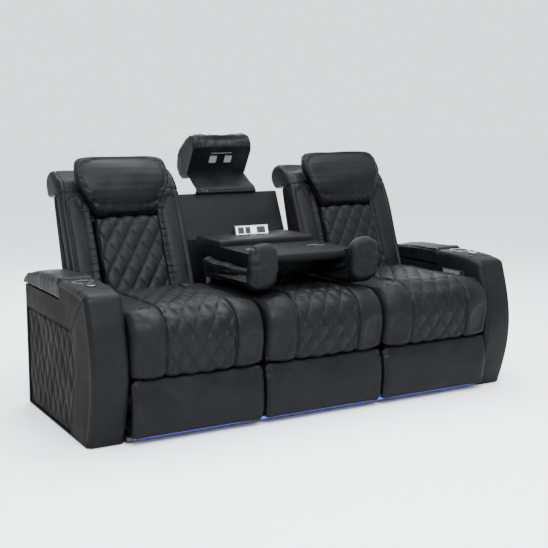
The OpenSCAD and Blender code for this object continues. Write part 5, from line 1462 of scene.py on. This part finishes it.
def cover_rings(seed):
    loop = np.array(runs([*COVER_SIDE, COVER_SIDE[0]], 9)) * MM
    x = stations(COVER_HALF * MM, 200 * MM, COVER_EDGE_R * MM, 14 * MM)
    edge = step_in(COVER_HALF * MM - np.abs(x), COVER_EDGE_R * MM)[:, None]
    rear = fade(loop[:, 0], 70 * MM, 84 * MM) * fade(loop[:, 1], 30 * MM, 90 * MM)
    rear = rear * (1 - fade(loop[:, 1], 470 * MM, 545 * MM))
    X, S = np.meshgrid(x, loop[:, 1], indexing="ij")
    away = 1 - (x / (COVER_HALF * MM)) ** 4
    swell = (4 * MM + 1.6 * MM * waves(X, S, 230 * MM, seed)) * away[:, None] * rear[None]
    swell = swell - edge * (0.25 + 0.75 * fade(loop[:, 0], 60 * MM, 75 * MM))[None]
    return lean_back(swept(loop, x, swell))


for side, sx in SIDES:
    cover = ringed(side + "_back_leather", cover_rings(33 + sx), outer)
    points, faces = block(POCKET_LOW, POCKET_HIGH)
    carve(cover, [(lean_back(points), faces)])
    cover.data.transform(Matrix.Translation((sx * PITCH, 0, 0)))
    dress(cover, side + "_back", side + "_back_cover", slot="outer_leather", fill=0.9)

# %% [markdown]
# A black dust cover is stapled under the base, as on most upholstery. It keeps light from showing through
# the narrow gaps beside the footrests, and it turns up at the rear to meet the panel.

# %% Dust cover
COVER_PATH = [(-9, 10.6), (300, 10.2), (740, 10.6), (758, 22), (765, 38), (766, 50)]
COVER_X = 897


def dust_cover():
    path, run = even(smooth(COVER_PATH), 90)
    x = np.linspace(-COVER_X, COVER_X, 121)
    X, Y = np.meshgrid(x, path[:, 0], indexing="ij")
    slack = 0.6 * waves(X * MM, Y * MM, 0.3, 2)
    points = np.stack([X, Y, np.broadcast_to(path[:, 1], X.shape) + slack], -1)
    return sheet("dust_cover", place(points), lining_and_painted_shade, turned=True), run[-1] * MM


CLOTH_TONES, CLOTH_GRAIN = ((0.006, 0.006, 0.0065), (0.011, 0.011, 0.0115)), (500.0, 500.0, 500.0)
lining_and_painted_shade = hard("black lining cloth", *CLOTH_TONES, 0.85, 0.0, CLOTH_GRAIN, 0.3)
under, under_run = dust_cover()
dress(under, "sofa_frame", slot="outer_leather", fill=None)
print("dust cover: %.0f by %.0f mm" % (2 * COVER_X, under_run / MM))

# %% [markdown]
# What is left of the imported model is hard, and its shapes are right: frames, links, boards, cups, switches
# and lamps. Each keeps its mesh, gets a small bevel for its edges to catch the light, and takes a finish.


# %% Finishes that change with place
RIM = 0.4 * MM


def box_mask(here, low, high):
    """1 inside a box given in millimetres, with a soft rim."""
    corners = place([low, high])
    mask = None
    for k in range(3):
        c = here.part(k)
        rise = c.ramp(corners[0][k] - RIM, corners[0][k] + RIM)
        fall = c.ramp(corners[1][k] - RIM, corners[1][k] + RIM, 1.0, 0.0)
        mask = rise * fall if mask is None else mask * rise * fall
    return mask


def cup_steel_with_painted_shade(name, rim_z):
    """Bright steel on the ring, and painted shade below it: near-black and not metal down inside the cup."""
    made, here, shader = new_material(name)
    height = here.part(2)
    noise = here.noise(60.0, 3.0)
    ring = height.ramp((rim_z - 5) * MM, (rim_z - 2) * MM)
    # Painted shade: below the rim the steel is painted near-black, where the cup's inside would be in shade.
    feed(shader, "Base Color", ring.mix((0.012, 0.012, 0.013), (0.70, 0.71, 0.74)))
    feed(shader, "Metallic", ring)
    feed(shader, "Roughness", ring * -0.3 + noise.ramp(0.3, 0.7, 0.44, 0.54))
    return made


SOCKETS_X = ((-76, -43), (-36, -8), (26, 73))
SOCKET_Z, FACE_Z, EDGE_Z = (738, 769), (734, 772), (773.2, 778)
POD_Y = (560, 660)
POD_BLACK, EDGE_METAL = (0.014, 0.014, 0.015), (0.55, 0.56, 0.58)


def across_pod(here, x, z):
    """A mask between two places on X and two on Z, over the pod's whole depth."""
    return box_mask(here, (x[0], POD_Y[0], z[0]), (x[1], POD_Y[1], z[1]))


def pod_finish():
    """A black housing with a bright top edge, a pale face and dark sockets."""
    made, here, shader = new_material("outlet pod")
    facing = here.node("ShaderNodeNewGeometry", out=1).part(1)
    front = facing.ramp(-0.5, -0.3, 1.0, 0.0) * across_pod(here, (-87, 87), FACE_Z)
    sockets = None
    for between in SOCKETS_X:
        one = across_pod(here, between, SOCKET_Z)
        sockets = one if sockets is None else sockets.math("MAXIMUM", one)
    edge = across_pod(here, (-93, 93), EDGE_Z)
    noise = here.noise(90.0, 3.0)
    face = noise.ramp(0.35, 0.65).mix((0.66, 0.67, 0.68), (0.74, 0.75, 0.76))
    body = (front * (1 - sockets)).mix(POD_BLACK, face)
    feed(shader, "Base Color", edge.mix(body, EDGE_METAL))
    feed(shader, "Roughness", noise.ramp(0.3, 0.7, 0.28, 0.38))
    feed(shader, "Metallic", edge * 0.9)
    return made


# Painted shade: the colour of the timber behind the storage well's front.
PAINTED_SHADE_BLACK = (0.008, 0.008, 0.009)


def timber_with_painted_shade(well_front):
    """Raw timber with painted shade: near-black from where the storage well begins back to the rear."""
    made, here, shader = new_material("timber with painted shade")
    depth = here.part(1)
    lie = here.node("ShaderNodeVectorMath", {"operation": "MULTIPLY"}, {0: here, 1: (60.0, 5.0, 60.0)})
    grain = lie.noise(1.0, 4.0)
    # Painted shade mask: 1 behind the front of the storage well, 0 in front of it.
    lining_and_painted_shade = depth.ramp(well_front - 2 * MM, well_front)
    wood = grain.ramp(0.35, 0.65).mix((0.36, 0.25, 0.15), (0.5, 0.37, 0.23))
    # Painted shade: near-black over the timber behind the storage well's front.
    feed(shader, "Base Color", lining_and_painted_shade.mix(wood, PAINTED_SHADE_BLACK))
    feed(shader, "Roughness", grain.ramp(0.3, 0.7, 0.55, 0.68))
    feed_bump(shader, grain, 0.25)
    return made


shade_painted_timber = timber_with_painted_shade(place((0, STORAGE_FRONT, 0))[1])
arm_steel, table_steel = cup_steel_with_painted_shade("arm cup steel with painted shade", 636), cup_steel_with_painted_shade("table cup steel with painted shade", 708)
pod = pod_finish()
print("placed finishes:", shade_painted_timber.name, arm_steel.name, table_steel.name, pod.name)

# %% Dressing the hard parts
FINISHES = {
    "black_leather": hide, "outer_leather": outer, "polished_steel": polished, "zinc_steel": zinc,
    "black_steel": painted, "timber": timber, "black_plastic": plastic, "rockers": silver,
    "outlet_housing": pod, "lamp_lens": lens, "led": led,
}
OWN = {
    # The arm frames take the timber with painted shade behind the storage well's front.
    "left_arm_frame": shade_painted_timber, "right_arm_frame": shade_painted_timber, "rear_panel": hide, "console_board": board,
    "arm_cup_holders": arm_steel, "accessory_docks": arm_steel, "console_cups": table_steel,
}
BEVELS = {"rear_panel": 5, "console_board": 5, "outlet_pod": 1.2, "led_strip": 0}
dressed = 0
for row in frame["record"]["subparts"]:
    shown = bpy.data.objects[row["node"]]
    for one in shown.material_slots:
        one.material = OWN.get(row["node"], FINISHES[row["material_slot"]])
    width = BEVELS.get(row["node"], 0.8)
    if width and not shown.hide_render:
        bevel = shown.modifiers.new("edges", "BEVEL")
        bevel.width, bevel.segments = width * MM, 3 if width > 1 else 2
        bevel.limit_method, bevel.angle_limit = "ANGLE", math.radians(40)
        dressed += 1
print(dressed, "hard parts dressed")
